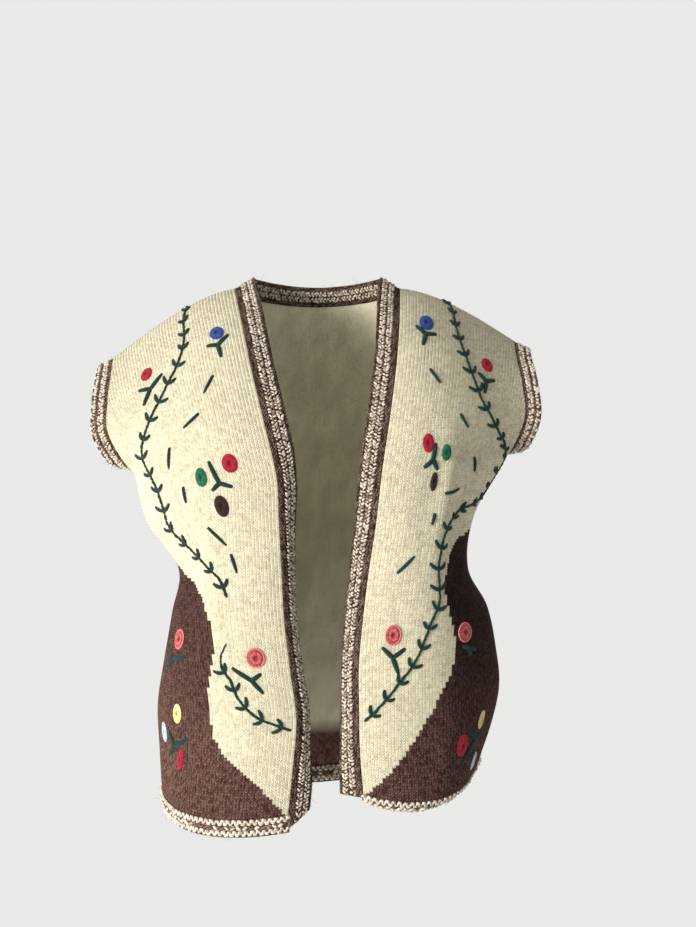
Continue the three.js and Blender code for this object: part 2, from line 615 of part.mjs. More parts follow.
function sprig(facet, item) {
  const { across, up } = scaleAt(facet, item.s, item.row);
  const tips = [[item.x1, item.z1], [item.x2, item.z2], [item.x3, item.z3]]
    .sort((a, b) => Math.atan2(a[1], a[0]) - Math.atan2(b[1], b[0]));
  const outline = [];
  const add = (x, z) => outline.push({ s: item.s + x / across.x, row: item.row + z / up.length() });
  for (const [x, z] of tips) {
    const length = Math.hypot(x, z);
    const side = { x: -z / length, z: x / length };
    const root = LEAF_ROOT / length;
    for (const [along, half] of [[root, -1.4], [0.62, -2.2], [1, 0], [0.62, 2.2], [root, 1.4]]) {
      add(x * along + side.x * half, z * along + side.z * half);
    }
  }
  return pad(facet, item, outline, YARN_HEIGHT * 0.8);
}

// A stem with pairs of leaves, as one low ridge that widens at each pair.
function vine(facet, path) {
  const curve = new THREE.CatmullRomCurve3(path.map(([s, row]) => vec(s, row, 0)));
  const fine = curve.getPoints(400);
  const onCloth = fine.map((p) => facet(p.x, p.y, 0));
  const along = [0];
  for (let i = 1; i < fine.length; i += 1) {
    along.push(along[i - 1] + onCloth[i].distanceTo(onCloth[i - 1]));
  }
  const total = along[along.length - 1];
  const placeAt = (mm) => {
    const want = THREE.MathUtils.clamp(mm, 0, total);
    const i = Math.max(1, along.findIndex((length) => length >= want));
    return mix(fine[i - 1], fine[i], (want - along[i - 1]) / (along[i] - along[i - 1]));
  };
  const pairs = Math.floor(total / LEAF_STEP);
  const pitch = total / pairs;
  const stations = [{ at: 0, half: STEM_HALF * 0.6, lean: 0 }];
  for (let k = 0; k < pairs; k += 1) {
    const root = (k + 0.5) * pitch;
    stations.push({ at: root - 2.5, half: STEM_HALF, lean: 0 });
    stations.push({ at: root, half: LEAF_HALF, lean: LEAF_LEAN });
    stations.push({ at: root + LEAF_LEAN + 1.5, half: STEM_HALF, lean: 0 });
  }
  stations.push({ at: total, half: STEM_HALF * 0.6, lean: 0 });
  const position = [];
  const sideOf = (mm, half) => {
    const here = placeAt(mm);
    const ahead = placeAt(mm + 2);
    const behind = placeAt(mm - 2);
    const { across, up } = scaleAt(facet, here.x, here.y);
    const run = [(ahead.x - behind.x) * across.length(), (ahead.y - behind.y) * up.length()];
    const length = Math.hypot(...run);
    return { s: here.x + (-run[1] / length) * (half / across.length()),
      row: here.y + (run[0] / length) * (half / up.length()) };
  };
  for (const { at, half, lean } of stations) {
    const spots = [[sideOf(at - lean, half), YARN_CLEAR], [sideOf(at, 0), YARN_CLEAR + YARN_HEIGHT],
      [sideOf(at - lean, -half), YARN_CLEAR], [sideOf(at, 0), YARN_CLEAR]];
    for (const [spot, lift] of spots) {
      const p = facet(THREE.MathUtils.clamp(spot.s, 0.005, 0.995), spot.row, lift);
      position.push(p.x, p.y, p.z);
    }
  }
  const index = [];
  const n = stations.length;
  for (let i = 0; i + 1 < n; i += 1) {
    for (const [a, b] of [[0, 1], [1, 2], [2, 3], [3, 0]]) {
      index.push(4 * i + a, 4 * i + b, 4 * i + 4 + b, 4 * i + a, 4 * i + 4 + b, 4 * i + 4 + a);
    }
  }
  const end = 4 * n - 4;
  index.push(0, 2, 1, 0, 3, 2, end, end + 1, end + 2, end, end + 2, end + 3);
  return solid(position, index);
}

const group = new THREE.Group();
group.name = 'wool_vest';

function add(name, geometry, colour) {
  const material = new THREE.MeshStandardMaterial({ color: COLOUR[colour], roughness: 0.95,
    metalness: 0 });
  material.name = colour;
  const mesh = new THREE.Mesh(geometry, material);
  mesh.name = name;
  group.add(mesh);
}

const plain = surfaces();
const cloth = Object.fromEntries(Object.entries(plain).map(([name, surface]) =>
  [name, folded(surface, name)]));

const frontColumns = steps(FRONT_COLUMNS);
const backColumns = [
  ...steps(BACK_SHOULDER_COLUMNS).map((t) => t * NECK_SHARE),
  ...steps(BACK_NECK_COLUMNS).slice(1, -1).map((t) => NECK_SHARE + t * (1 - 2 * NECK_SHARE)),
  ...steps(BACK_SHOULDER_COLUMNS).map((t) => 1 - NECK_SHARE + t * NECK_SHARE),
];

const panels = {
  right: panel(cloth.right, 'right', frontColumns),
  left: panel(cloth.left, 'left', frontColumns),
  back: panel(cloth.back, 'back', backColumns),
};
add('front_right', panels.right.geometry, 'cream');
add('front_left', panels.left.geometry, 'cream');
add('back', panels.back.geometry, 'cream');
add('band_front_right', frontBand(cloth.right, 'right'), 'band');
add('band_front_left', frontBand(cloth.left, 'left'), 'band');
add('band_neck', neckBand(cloth.back), 'band');
add('hem_front_right', hemBand(cloth.right, 'right', steps(9), 8), 'band');
add('hem_front_left', hemBand(cloth.left, 'left', steps(9), 58), 'band');
add('hem_back', hemBand(cloth.back, 'back', steps(16), 10), 'band');
add('armhole_band_right', armholeBand(cloth.right, cloth.back, 'right'), 'band');
add('armhole_band_left', armholeBand(cloth.left, cloth.back, 'left'), 'band');
for (const [name, stem] of Object.entries(STEMS)) {
  add(name, vine(panels[stem.panel].facet, stem.path), 'vine');
}
for (const item of FLOWERS) add(item.name, flower(panels[item.panel].facet, item), item.colour);
for (const item of SPRIGS) add(item.name, sprig(panels[item.panel].facet, item), 'vine');

export default group;
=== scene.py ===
# %% [markdown]
# # A wool vest, knitted and embroidered
# The vest hangs open, in the shape it takes when it is worn. Two fronts and a back are in
# plain stockinette knitting, with narrow bands of garter knitting along the fronts, round the
# neck, the armholes and the hem, and flowers sewn on in thick yarn. Every piece is a surface
# worked out from two numbers, one across the cloth and one along it, so the stitches can
# follow the cloth wherever it bends.

# %% Load the solid model
import bpy, math
import numpy as np
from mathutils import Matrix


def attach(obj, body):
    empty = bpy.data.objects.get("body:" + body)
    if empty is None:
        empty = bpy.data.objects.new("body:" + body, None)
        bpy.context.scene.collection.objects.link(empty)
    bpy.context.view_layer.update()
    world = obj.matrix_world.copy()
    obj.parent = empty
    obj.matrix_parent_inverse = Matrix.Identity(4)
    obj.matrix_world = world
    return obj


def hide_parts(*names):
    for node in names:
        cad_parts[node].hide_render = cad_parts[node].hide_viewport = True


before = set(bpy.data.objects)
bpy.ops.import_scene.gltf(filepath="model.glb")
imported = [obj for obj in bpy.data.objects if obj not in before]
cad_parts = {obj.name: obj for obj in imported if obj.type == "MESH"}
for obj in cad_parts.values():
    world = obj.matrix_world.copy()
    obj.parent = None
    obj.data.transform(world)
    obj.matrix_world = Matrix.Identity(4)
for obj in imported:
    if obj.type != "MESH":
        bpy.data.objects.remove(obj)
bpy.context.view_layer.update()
rng = np.random.default_rng(11)
MM = 0.001
print("nodes in the frame:", len(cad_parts))

# %% [markdown]
# ## Camera, floor and light
# A garment looks right when it is seen level, from about two metres, with a long lens. The
# light is one wide soft lamp at the front left, weaker ones at the right and behind, and a
# pale sky all round, so the folds show as gentle shades and not as hard shadows.


# %% Camera
def put(name, data):
    thing = bpy.data.objects.new(name, data)
    bpy.context.scene.collection.objects.link(thing)
    return thing


eye = bpy.data.cameras.new("camera")
eye.sensor_fit, eye.sensor_height, eye.lens = "VERTICAL", 36, 66.4
camera = put("camera", eye)
camera.location, camera.rotation_euler = (0.043, -2.12, -0.217), (math.pi / 2, 0, 0)
bpy.context.scene.camera = camera

# %% Floor, sky and lamps
LAMPS = {  # place, aim and size in metres, watts, colour
    "key": ((-2.1, -1.9, -0.2), (0, 0, -0.35), (1.2, 1.4), 108, (1, 0.985, 0.965)),
    "fill": ((1.9, -2.1, 0.1), (0, 0, -0.3), (1.6, 1.8), 4, (1, 0.99, 0.96)),
    "behind": ((0.9, 2.3, 0.7), (0, 0, -0.3), (1.6, 1.8), 34, (1, 0.99, 0.97)),
}
SKY_LIGHT, SKY_SEEN, FLOOR = (0.42, 0.42, 0.42, 1), (0.82, 0.82, 0.81, 1), (0.78, 0.78, 0.79, 1)


def new_material(name):
    material = bpy.data.materials.new(name)
    material.use_nodes = True
    return material, material.node_tree


def pale_floor(radius, height, parts=96):
    """A disc: its rim is the circle (radius cos a, radius sin a) for a from 0 to a full turn."""
    a = np.linspace(0, 2 * np.pi, parts, endpoint=False)
    rim = np.stack([radius * np.cos(a), radius * np.sin(a), np.full(parts, height)], 1)
    mesh = bpy.data.meshes.new("floor")
    mesh.from_pydata(rim.tolist(), [], [list(range(parts))])
    paint, tree = new_material("floor_paint")
    tree.nodes["Principled BSDF"].inputs["Base Color"].default_value = FLOOR
    tree.nodes["Principled BSDF"].inputs["Roughness"].default_value = 0.9
    mesh.materials.append(paint)
    put("floor", mesh)


def soft_lamp(name, place, aim, size, watts, colour):
    lamp = bpy.data.lights.new(name, "AREA")
    lamp.shape, lamp.size, lamp.size_y = "RECTANGLE", *size
    lamp.energy, lamp.color = watts, colour
    x, y, z = np.subtract(aim, place)
    holder = put(name, lamp)
    holder.location = place
    holder.rotation_euler = (math.pi / 2 + math.atan2(z, math.hypot(x, y)), 0, math.atan2(-x, y))


def pale_sky():
    """Grey light from all round, paler where the camera looks past the vest."""
    sky = bpy.data.worlds.new("sky")
    sky.use_nodes = True
    nodes = sky.node_tree.nodes
    pale = nodes.new("ShaderNodeMix")
    pale.data_type = "RGBA"
    pale.inputs[6].default_value, pale.inputs[7].default_value = SKY_LIGHT, SKY_SEEN
    seen = nodes.new("ShaderNodeLightPath").outputs["Is Camera Ray"]
    sky.node_tree.links.new(seen, pale.inputs[0])
    sky.node_tree.links.new(pale.outputs[2], nodes["Background"].inputs["Color"])
    bpy.context.scene.world = sky


pale_floor(2.2, -1.42)
for name, item in LAMPS.items():
    soft_lamp(name, *item)
pale_sky()
bpy.context.scene.view_settings.view_transform = "Standard"

# %% [markdown]
# ## The shape of the panels
# A pattern cutter describes a front by its edges. Here each front has a table with one row for
# each level, from the hem up to the shoulder seam. A row gives the front edge, the side seam
# or armhole, and how full the cloth bows between them. The same numbers made the solid model,
# in millimetres.

# %% Tables of sections
FRONTS = {  # level, edge x and y, seam x, y and z, flat, deep, open, crown, rise
    "right": [
        (-628, -27, -121, -186, 5, -612, 0.62, 0.70, 0, 16, -19),
        (-570, -21, -125, -189, 5, -562, 0.62, 0.70, 0, 16, -8),
        (-515, -17, -127, -191, 5, -512, 0.62, 0.72, 0, 16, 0),
        (-460, -24, -128, -183, 5, -458, 0.62, 0.75, 0, 16, 0),
        (-400, -31, -130, -173, 5, -400, 0.60, 0.80, 0, 16, 0),
        (-345, -34, -132, -165, 5, -345, 0.60, 0.80, 0, 16, 0),
        (-285, -37, -134, -204, 3, -288, 0.60, 0.70, 0, 14, 0),
        (-232, -40, -131, -221, 0, -228, 0.60, 0.70, 0.05, 12, 0),
        (-165, -56, -121, -246, -50, -183, 0.50, 0.50, 0.30, 10, 0),
        (-105, -71, -99, -248, -48, -143, 0.40, 0.40, 0.35, 8, 1),
        (-50, -84, -62, -247, -26, -110, 0.33, 0.35, 0.33, 6, 5),
        (0, -97, 10, -247, 0, -87, 0.33, 0.35, 0.33, 0, 9)],
    "left": [
        (-603, 61, -121, 204, 5, -567, 0.60, 0.70, 0, 14, -37),
        (-550, 57, -125, 220, 5, -529, 0.60, 0.70, 0, 14, -16),
        (-500, 56, -127, 229, 5, -489, 0.60, 0.70, 0, 14, -3),
        (-450, 56, -128, 225, 5, -445, 0.60, 0.75, 0, 14, 0),
        (-395, 61, -130, 214, 5, -393, 0.55, 0.85, 0, 14, 0),
        (-345, 67, -132, 190, 5, -345, 0.55, 0.95, 0, 14, 0),
        (-285, 76, -134, 197, 3, -282, 0.50, 0.85, 0, 14, 0),
        (-225, 83, -131, 238, 0, -208, 0.45, 0.60, 0.05, 12, 0),
        (-165, 92, -121, 256, -50, -163, 0.45, 0.50, 0.30, 10, 0),
        (-105, 100, -99, 254, -48, -122, 0.40, 0.40, 0.35, 8, 1),
        (-50, 105, -62, 249, -26, -88, 0.33, 0.35, 0.33, 6, 5),
        (0, 107, 10, 248, 0, -66, 0.33, 0.35, 0.33, 0, 9)],
}
BACK = [  # level, depth, flat, deep, open, rise
    (-612, 120, 0.60, 0.70, 0, -6), (-558, 122, 0.60, 0.70, 0, -3),
    (-507, 121, 0.60, 0.72, 0, 0), (-455, 116, 0.60, 0.75, 0, 0),
    (-398, 108, 0.58, 0.80, 0, 0), (-345, 102, 0.58, 0.80, 0, 0),
    (-285, 108, 0.58, 0.72, 0, 0), (-228, 116, 0.58, 0.70, 0.05, 0),
    (-165, 118, 0.50, 0.50, 0.30, 0), (-105, 110, 0.40, 0.40, 0.35, 1),
    (-50, 88, 0.33, 0.35, 0.33, 4),
]
UNDERARM, SHOULDER, NECK_SHARE, BACK_CENTRE_X = 7, 11, 0.3, 5
NECK_CENTRE, LEVELLING = (58, -16), 0.6
ARMHOLE_ROUND = np.array([0.4, 1.8, 0.2])
FOLDS = {  # from s and row, to s and row, half width and height in mm
    "right": [(0.34, 6.4, 0.40, 2.6, 16, 3.5), (0.53, 6.2, 0.56, 2.8, 20, -5),
              (0.45, 6.9, 0.85, 5.0, 11, -2.5), (0.75, 2.4, 0.72, -0.6, 15, -3)],
    "left": [(0.38, 8.4, 0.36, 4.2, 14, 5), (0.56, 8.0, 0.52, 4.0, 20, -6),
             (0.42, 6.7, 0.86, 5.2, 11, -2.5), (0.44, 2.6, 0.44, -0.6, 17, 3),
             (0.72, 2.4, 0.70, -0.6, 15, -3)],
    "back": [(0.50, 6.6, 0.50, 3.4, 40, -4)],
}

# %% [markdown]
# A section is a Bezier curve. To lay even stitches along it, a place on it is given by its
# share of the length and not by the curve's own parameter, so each section is first measured
# out into short steps.


# %% Curves measured by length
def smoothstep(a, b, x):
    t = np.clip((np.asarray(x, float) - a) / (b - a), 0, 1)
    return t * t * (3 - 2 * t)


def lengths(line):
    """Length along a line of points, up to each of them."""
    return np.r_[0, np.cumsum(np.linalg.norm(np.diff(line, axis=0), axis=1))]


def bow(*corners):
    """Bezier curve (1-t)^3 a + 3(1-t)^2 t b + 3(1-t) t^2 c + t^3 d, measured by length."""
    t = np.linspace(0, 1, 61)[:, None]
    a, b, c, d = (np.array(p, float) for p in corners)
    line = (1 - t) ** 3 * a + 3 * (1 - t) ** 2 * t * b + 3 * (1 - t) * t ** 2 * c + t ** 3 * d
    share = lengths(line) / lengths(line)[-1]
    return lambda s: np.stack([np.interp(s, share, line[:, k]) for k in range(3)], -1)


def front_section(row):
    level, edge_x, edge_y, seam_x, seam_y, seam_z, flat, deep, open_, crown, rise = row
    side, up = seam_x - edge_x, seam_z - level
    return bow(
        (edge_x, edge_y, level),
        (edge_x + flat * side, edge_y - crown, level + LEVELLING * flat * up + rise),
        (seam_x - open_ * side, seam_y + deep * (edge_y - seam_y), seam_z - open_ * up + rise),
        (seam_x, seam_y, seam_z))


def back_half(i, name):
    """Half a section of the back, from the seam of a front to the middle."""
    level, depth, flat, deep, open_, rise = BACK[i]
    _, _, _, x, y, z, *_ = FRONTS[name][i]
    y = -y if i > UNDERARM else y
    side, up = x - BACK_CENTRE_X, z - level
    return bow((x, y, z), (x - open_ * side, y + deep * (depth - y), z - open_ * up + rise),
               (BACK_CENTRE_X + flat * side, depth, level + LEVELLING * flat * up + rise),
               (BACK_CENTRE_X, depth, level))


# %% [markdown]
# Between the sections the cloth follows a cubic that passes through each of them. At the
# underarm the side seam ends and the armhole turns away, so the edge gets a corner there,
# which fades out inside the panel.


# %% Surfaces through the sections
def hermite(p, q, t, m0, m1):
    """Cubic from p to q with slopes m0 and m1."""
    return ((2 * t ** 3 - 3 * t ** 2 + 1) * p + (3 * t ** 2 - 2 * t ** 3) * q
            + (t ** 3 - 2 * t ** 2 + t) * m0 + (t ** 3 - t ** 2) * m1)


def loft(sections, ghost, corner_weight):
    """Surface S(s, row): each section at share s, joined along the rows by a smooth cubic."""
    def surface(s, row):
        s, row = np.broadcast_arrays(np.clip(s, 0, 1), np.asarray(row, float))
        pts = np.stack([f(s) for f in sections] + [ghost(s)])
        i = np.clip(np.floor(row).astype(int), 0, SHOULDER - 1)
        at = lambda k: np.take_along_axis(pts, k[None, ..., None], 0)[0]
        p, q, t = at(i), at(i + 1), (row - i)[..., None]
        before = np.where((i > 0)[..., None], at(np.maximum(i - 1, 0)), 2 * p - q)
        m0, m1 = (q - before) / 2, (at(i + 2) - p) / 2
        smooth = hermite(p, q, t, m0, m1)
        over = hermite(p, q, t, (q - p) * ARMHOLE_ROUND, m1)
        under = hermite(p, q, t, m0, q - p)
        corner = np.where((i == UNDERARM)[..., None], over,
                          np.where((i == UNDERARM - 1)[..., None], under, smooth))
        return smooth + (corner - smooth) * corner_weight(s)[..., None]
    return surface


def over_shoulder(sections):
    """Beyond the shoulder seam the cloth mirrors the stretch before it, front to back."""
    def ghost(s):
        last, before = sections[-1](s), sections[-2](s)
        return np.stack([before[..., 0], 2 * last[..., 1] - before[..., 1], before[..., 2]], -1)
    return ghost


raw, tops, necks = {}, {}, {}
for name, rows in FRONTS.items():
    sections = [front_section(r) for r in rows]
    raw[name] = loft(sections, over_shoulder(sections), lambda s: smoothstep(0.8, 1, s))
    tops[name] = sections[-1]
    neck = tops[name](0.0)
    necks[name] = bow(neck, (neck[0] * 0.97, 45, -8), (neck[0] * 0.45, *NECK_CENTRE),
                      (BACK_CENTRE_X, *NECK_CENTRE))


def back_section(i):
    right, left = back_half(i, "right"), back_half(i, "left")
    return lambda s: np.where((s < 0.5)[..., None], right(2 * s), left(2 - 2 * s))


def back_top(s):
    t = np.minimum(s, 1 - s)
    inner = (t - NECK_SHARE) / (0.5 - NECK_SHARE)
    half = lambda name: np.where((t <= NECK_SHARE)[..., None], tops[name](1 - t / NECK_SHARE),
                                 necks[name](inner))
    return np.where((s < 0.5)[..., None], half("right"), half("left"))


def back_ghost(s):
    onward = 2 * back_top(s) - sections[-2](s)
    t = smoothstep(NECK_SHARE - 0.04, NECK_SHARE + 0.06, np.minimum(s, 1 - s))[..., None]
    return over_shoulder(sections)(s) * (1 - t) + onward * t


sections = [back_section(i) for i in range(len(BACK))] + [back_top]
raw["back"] = loft(sections, back_ghost, lambda s: smoothstep(0.4, 0.5, np.abs(s - 0.5)))

# %% [markdown]
# ## Cloth as a table of points
# Each panel is sampled once on an even grid, with its soft folds added along its normals.
# Everything later, from a stitch to a petal, asks this table for a point and lifts it off the
# cloth by some height. Reading between the samples uses the cubic through the nearest four
# each way, which keeps the cloth smooth.

# %% Sampled cloth
FACING = {"right": -1, "left": 1, "back": -1}


def unit(v):
    return v / np.maximum(np.linalg.norm(v, axis=-1, keepdims=True), 1e-12)


def grid_normals(points, sign):
    return unit(np.cross(np.gradient(points, axis=1), np.gradient(points, axis=0))) * sign


def between(grid, across, along):
    """Cubic reading of a grid: across and along run from 0 to 1 over its columns and rows."""
    rows, columns = grid.shape[:2]
    wide = np.pad(grid, ((1, 1), (1, 1), (0, 0)), mode="reflect", reflect_type="odd")
    x, y = np.clip(across, 0, 1) * (columns - 1), np.clip(along, 0, 1) * (rows - 1)
    i, j = np.minimum(x.astype(int), columns - 2), np.minimum(y.astype(int), rows - 2)

    def weights(f):
        return (-.5 * f + f ** 2 - .5 * f ** 3, 1 - 2.5 * f ** 2 + 1.5 * f ** 3,
                .5 * f + 2 * f ** 2 - 1.5 * f ** 3, -.5 * f ** 2 + .5 * f ** 3)
    wx, wy = weights(x - i), weights(y - j)
    return sum((wy[m] * wx[n])[..., None] * wide[j + m, i + n]
               for m in range(4) for n in range(4))


def facing(cloth, across, along):
    return unit(between(cloth["normal"], across, along))


def on(cloth, across, along, lift=0.0):
    """A point of the cloth, moved out along its normal by lift."""
    across, along, lift = np.broadcast_arrays(across, along, lift)
    return (between(cloth["point"], across, along)
            + facing(cloth, across, along) * lift[..., None])


def sampled(name):
    """Adds to the surface, for each fold, height sin(pi t)^2 exp(-(distance / half)^2)."""
    s, row = np.meshgrid(np.linspace(0, 1, 65), np.linspace(0, SHOULDER, 12 * SHOULDER + 1))
    points = raw[name](s, row)
    width = np.linalg.norm(np.diff(points, axis=1), axis=2).sum(1)
    lift = np.zeros(s.shape)
    for s0, row0, s1, row1, half, height in FOLDS[name]:
        t = (row0 - row) / (row0 - row1)
        off = (s - (s0 + (s1 - s0) * t)) * width[:, None] / half
        lift += height * np.sin(np.pi * np.clip(t, 0, 1)) ** 2 * np.exp(-off ** 2)
    points = points + grid_normals(points, FACING[name]) * lift[..., None]
    print(name, "widest", round(width.max()), "mm, at the hem", round(width[0]), "mm")
    return {"point": points, "normal": grid_normals(points, FACING[name]), "width": width}


panels = {name: sampled(name) for name in raw}

# %% [markdown]
# ## Meshes from arrays
# A mesh of a hundred thousand stitches is only quick to make when whole arrays are handed
# over at once. A piece of cloth is a closed wall: the outer side is fine enough to hold the
# stitches, the inner side is coarser, and a strip of triangles zips the two borders together.


# %% Mesh helpers
def make_object(name, points, triangles, materials, uv, values, inner=None):
    """Mesh object from points in mm, triangles, and values for each point."""
    mesh = bpy.data.meshes.new(name)
    count = len(triangles)
    corners = np.asarray(triangles, np.int32).ravel()
    mesh.vertices.add(len(points))
    mesh.vertices.foreach_set("co", (np.asarray(points, np.float32) * MM).ravel())
    mesh.loops.add(3 * count)
    mesh.loops.foreach_set("vertex_index", corners)
    mesh.polygons.add(count)
    mesh.polygons.foreach_set("loop_start", np.arange(0, 3 * count, 3, dtype=np.int32))
    mesh.polygons.foreach_set("use_smooth", np.ones(count, bool))
    if inner is not None:
        mesh.polygons.foreach_set("material_index", inner.astype(np.int32))
    mesh.update(calc_edges=True)
    layer = mesh.uv_layers.new(name="stitches")
    layer.data.foreach_set("uv", np.asarray(uv, np.float32)[corners].ravel())
    for key, value in values.items():
        mesh.attributes.new(key, "FLOAT", "POINT").data.foreach_set(
            "value", np.asarray(value, np.float32).ravel())
    for material in materials:
        mesh.materials.append(material)
    piece = put(name, mesh)
    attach(piece, "root")
    return piece


def grid_triangles(rows, columns, start=0):
    """Two triangles for each cell of a grid of points numbered row by row."""
    a = (np.arange(rows - 1)[:, None] * columns + np.arange(columns - 1)).ravel() + start
    return np.concatenate([np.stack([a, a + 1, a + columns + 1], 1),
                           np.stack([a, a + columns + 1, a + columns], 1)])


def shell(outer, inner, pick):
    """Closed wall from a fine outer grid and the inner grid at its picked rows and columns.
    Each fine border edge is joined to the nearer picked place, each picked edge to the fine
    place halfway along it. Returns points, triangles and which triangles lie inside."""
    (rows, columns), (few, wide) = outer.shape[:2], inner.shape[:2]
    grid = np.arange(rows * columns).reshape(rows, columns)
    number = np.full(grid.shape, -1)
    number[pick] = rows * columns + np.arange(few * wide).reshape(few, wide)
    fine = np.r_[grid[0, :-1], grid[:-1, -1], grid[-1, :0:-1], grid[:0:-1, 0]]
    coarse = number.ravel()[fine]
    picked = np.flatnonzero(coarse >= 0)
    coarse, n, m = coarse[picked], len(fine), len(picked)
    halfway = (picked + np.r_[picked[1:], n]) // 2
    k = np.arange(n)
    owner = (np.searchsorted(picked, k, side="right") - 1) % m
    owner = np.where(k >= halfway[owner], (owner + 1) % m, owner)
    outside = np.concatenate([
        grid_triangles(rows, columns),
        np.stack([fine, coarse[owner], fine[(k + 1) % n]], 1),
        np.stack([coarse, np.roll(coarse, -1), fine[halfway % n]], 1)])
    inside = grid_triangles(few, wide, rows * columns)[:, ::-1]
    points = np.concatenate([outer.reshape(-1, 3), inner.reshape(-1, 3)])
    is_inner = np.arange(len(outside) + len(inside)) >= len(outside)
    return points, np.concatenate([outside, inside]), is_inner


def weld(points, triangles, is_inner):
    """Merges points that coincide, and drops triangles that have no area left and pairs that
    lie back to back, so that a strip whose two ends meet becomes a ring."""
    keys = np.round(points * 1e3).astype(np.int64)
    _, first, back = np.unique(keys, axis=0, return_index=True, return_inverse=True)
    triangles = back.reshape(-1)[triangles]
    a, b, c = triangles.T
    keep = (a != b) & (b != c) & (a != c)
    triangles, is_inner = triangles[keep], is_inner[keep]
    _, same, count = np.unique(np.sort(triangles, axis=1), axis=0, return_inverse=True,
                               return_counts=True)
    single = count[same.reshape(-1)] == 1
    return first, triangles[single], is_inner[single]


def outward(points, triangles):
    """Turns the triangles over if the volume they enclose comes out negative."""
    a, b, c = (points[triangles[:, k]] for k in range(3))
    return triangles if (a * np.cross(b, c)).sum() > 0 else triangles[:, ::-1]


# %% [markdown]
# One function makes every knitted piece. It is given where the stitches are on the cloth, how
# far each point is lifted, and a rule for the values that the shader reads. The piece takes
# the place of the plain solid of the same name.


# %% A knitted wall
def every(count, step):
    return np.unique(np.r_[np.arange(0, count, step), count - 1])


def knitted(node, ending, cloth, share, rows, stitch, lift, wall, steps, values_at,
            materials):
    """Wall over a grid of places; stitch holds u and v there, and values_at(u, v, share, rows)
    gives the attributes of each point, with u and v counted in stitches."""
    pick = np.ix_(*(every(n, step) for n, step in zip(share.shape, steps)))
    points, triangles, inside = shell(on(cloth, share, rows, lift),
                                      on(cloth, share[pick], rows[pick], -wall), pick)
    u, v, share, rows = (np.r_[a.ravel(), a[pick].ravel()] for a in (*stitch, share, rows))
    values = values_at(u, v, share, rows)
    first, triangles, inside = weld(points, triangles, inside)
    points = points[first]
    piece = make_object(node + ending, points, outward(points, triangles), materials,
                        np.stack([u, v], 1)[first],
                        {key: value[first] for key, value in values.items()}, inside)
    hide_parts(node)
    print(node, len(triangles), "triangles")


# %% [markdown]
# ## The look of knitted wool
# Seen close, plain knitting is rows of V shapes: each stitch has two legs that slant up from
# the middle, and between the columns there is a shadowed groove. The big shape of the legs is
# in the mesh. The finer part, the lean of each stitch, the twist of the yarn and its fuzz, is
# drawn by a node group that reads the cloth's own coordinates, counted in stitches: U counts
# columns and V counts rows. Formulas are easier to read as sums than as boxes with wires, so a
# small class turns each sum or product into a node.


# %% Node helpers
def feed(tree, socket, value):
    """Links a socket or a worked out number, or sets a constant."""
    value = getattr(value, "socket", value)
    if isinstance(value, bpy.types.NodeSocket):
        tree.links.new(value, socket)
    else:
        socket.default_value = value


def add(tree, kind, inputs, **settings):
    """A new shader node with its settings, then its inputs, linked or set."""
    node = tree.nodes.new("ShaderNode" + kind)
    for key, value in settings.items():
        setattr(node, key, value)
    for key, value in inputs.items():
        feed(tree, node.inputs[key], value)
    return node


class Number:
    """A number worked out by a node tree."""

    def __init__(self, tree, socket):
        self.tree, self.socket = tree, socket

    def op(self, operation, *others):
        node = add(self.tree, "Math", dict(enumerate((self, *others))), operation=operation)
        return Number(self.tree, node.outputs[0])

    def clamped(self):
        self.socket.node.use_clamp = True
        return self

    __add__ = __radd__ = lambda self, other: self.op("ADD", other)
    __mul__ = __rmul__ = lambda self, other: self.op("MULTIPLY", other)
    __sub__ = lambda self, other: self.op("SUBTRACT", other)
    __rsub__ = lambda self, other: (self * -1).op("ADD", other)
    __pow__ = lambda self, other: self.op("POWER", other)
    __truediv__ = lambda self, other: self.op("DIVIDE", other)
    __gt__ = lambda self, other: self.op("GREATER_THAN", other)


def mix_colours(tree, factor, a, b):
    return add(tree, "Mix", {0: factor, 6: a, 7: b}, data_type="RGBA").outputs[2]


def value_of(tree, name):
    return Number(tree, add(tree, "Attribute", {}, attribute_name=name).outputs["Fac"])


def new_group(name, colours, numbers, results):
    """An empty node group: its tree, its input sockets, a noise at a place on the piece, the
    two stitch coordinates, and the sockets of its results."""
    tree = bpy.data.node_groups.new(name, "ShaderNodeTree")
    for way, titles, kind in (("INPUT", ("Stitch", "Place"), "Vector"), ("INPUT", colours, "Color"),
                              ("INPUT", numbers, "Float"), ("OUTPUT", ("Color",), "Color"),
                              ("OUTPUT", results, "Float")):
        for title in titles:
            tree.interface.new_socket(name=title, in_out=way, socket_type="NodeSocket" + kind)
    given = tree.nodes.new("NodeGroupInput").outputs
    noise = lambda scale, detail: Number(tree, add(
        tree, "TexNoise", {"Scale": scale, "Detail": detail, "Vector": given["Place"]}
    ).outputs["Fac"])
    split = add(tree, "SeparateXYZ", {0: given["Stitch"]}).outputs
    u, v = Number(tree, split[0]), Number(tree, split[1])
    return tree, given, noise, u, v, tree.nodes.new("NodeGroupOutput").inputs


def toned(tree, colour, value):
    return add(tree, "HueSaturation", {"Value": value, "Color": colour}).outputs["Color"]


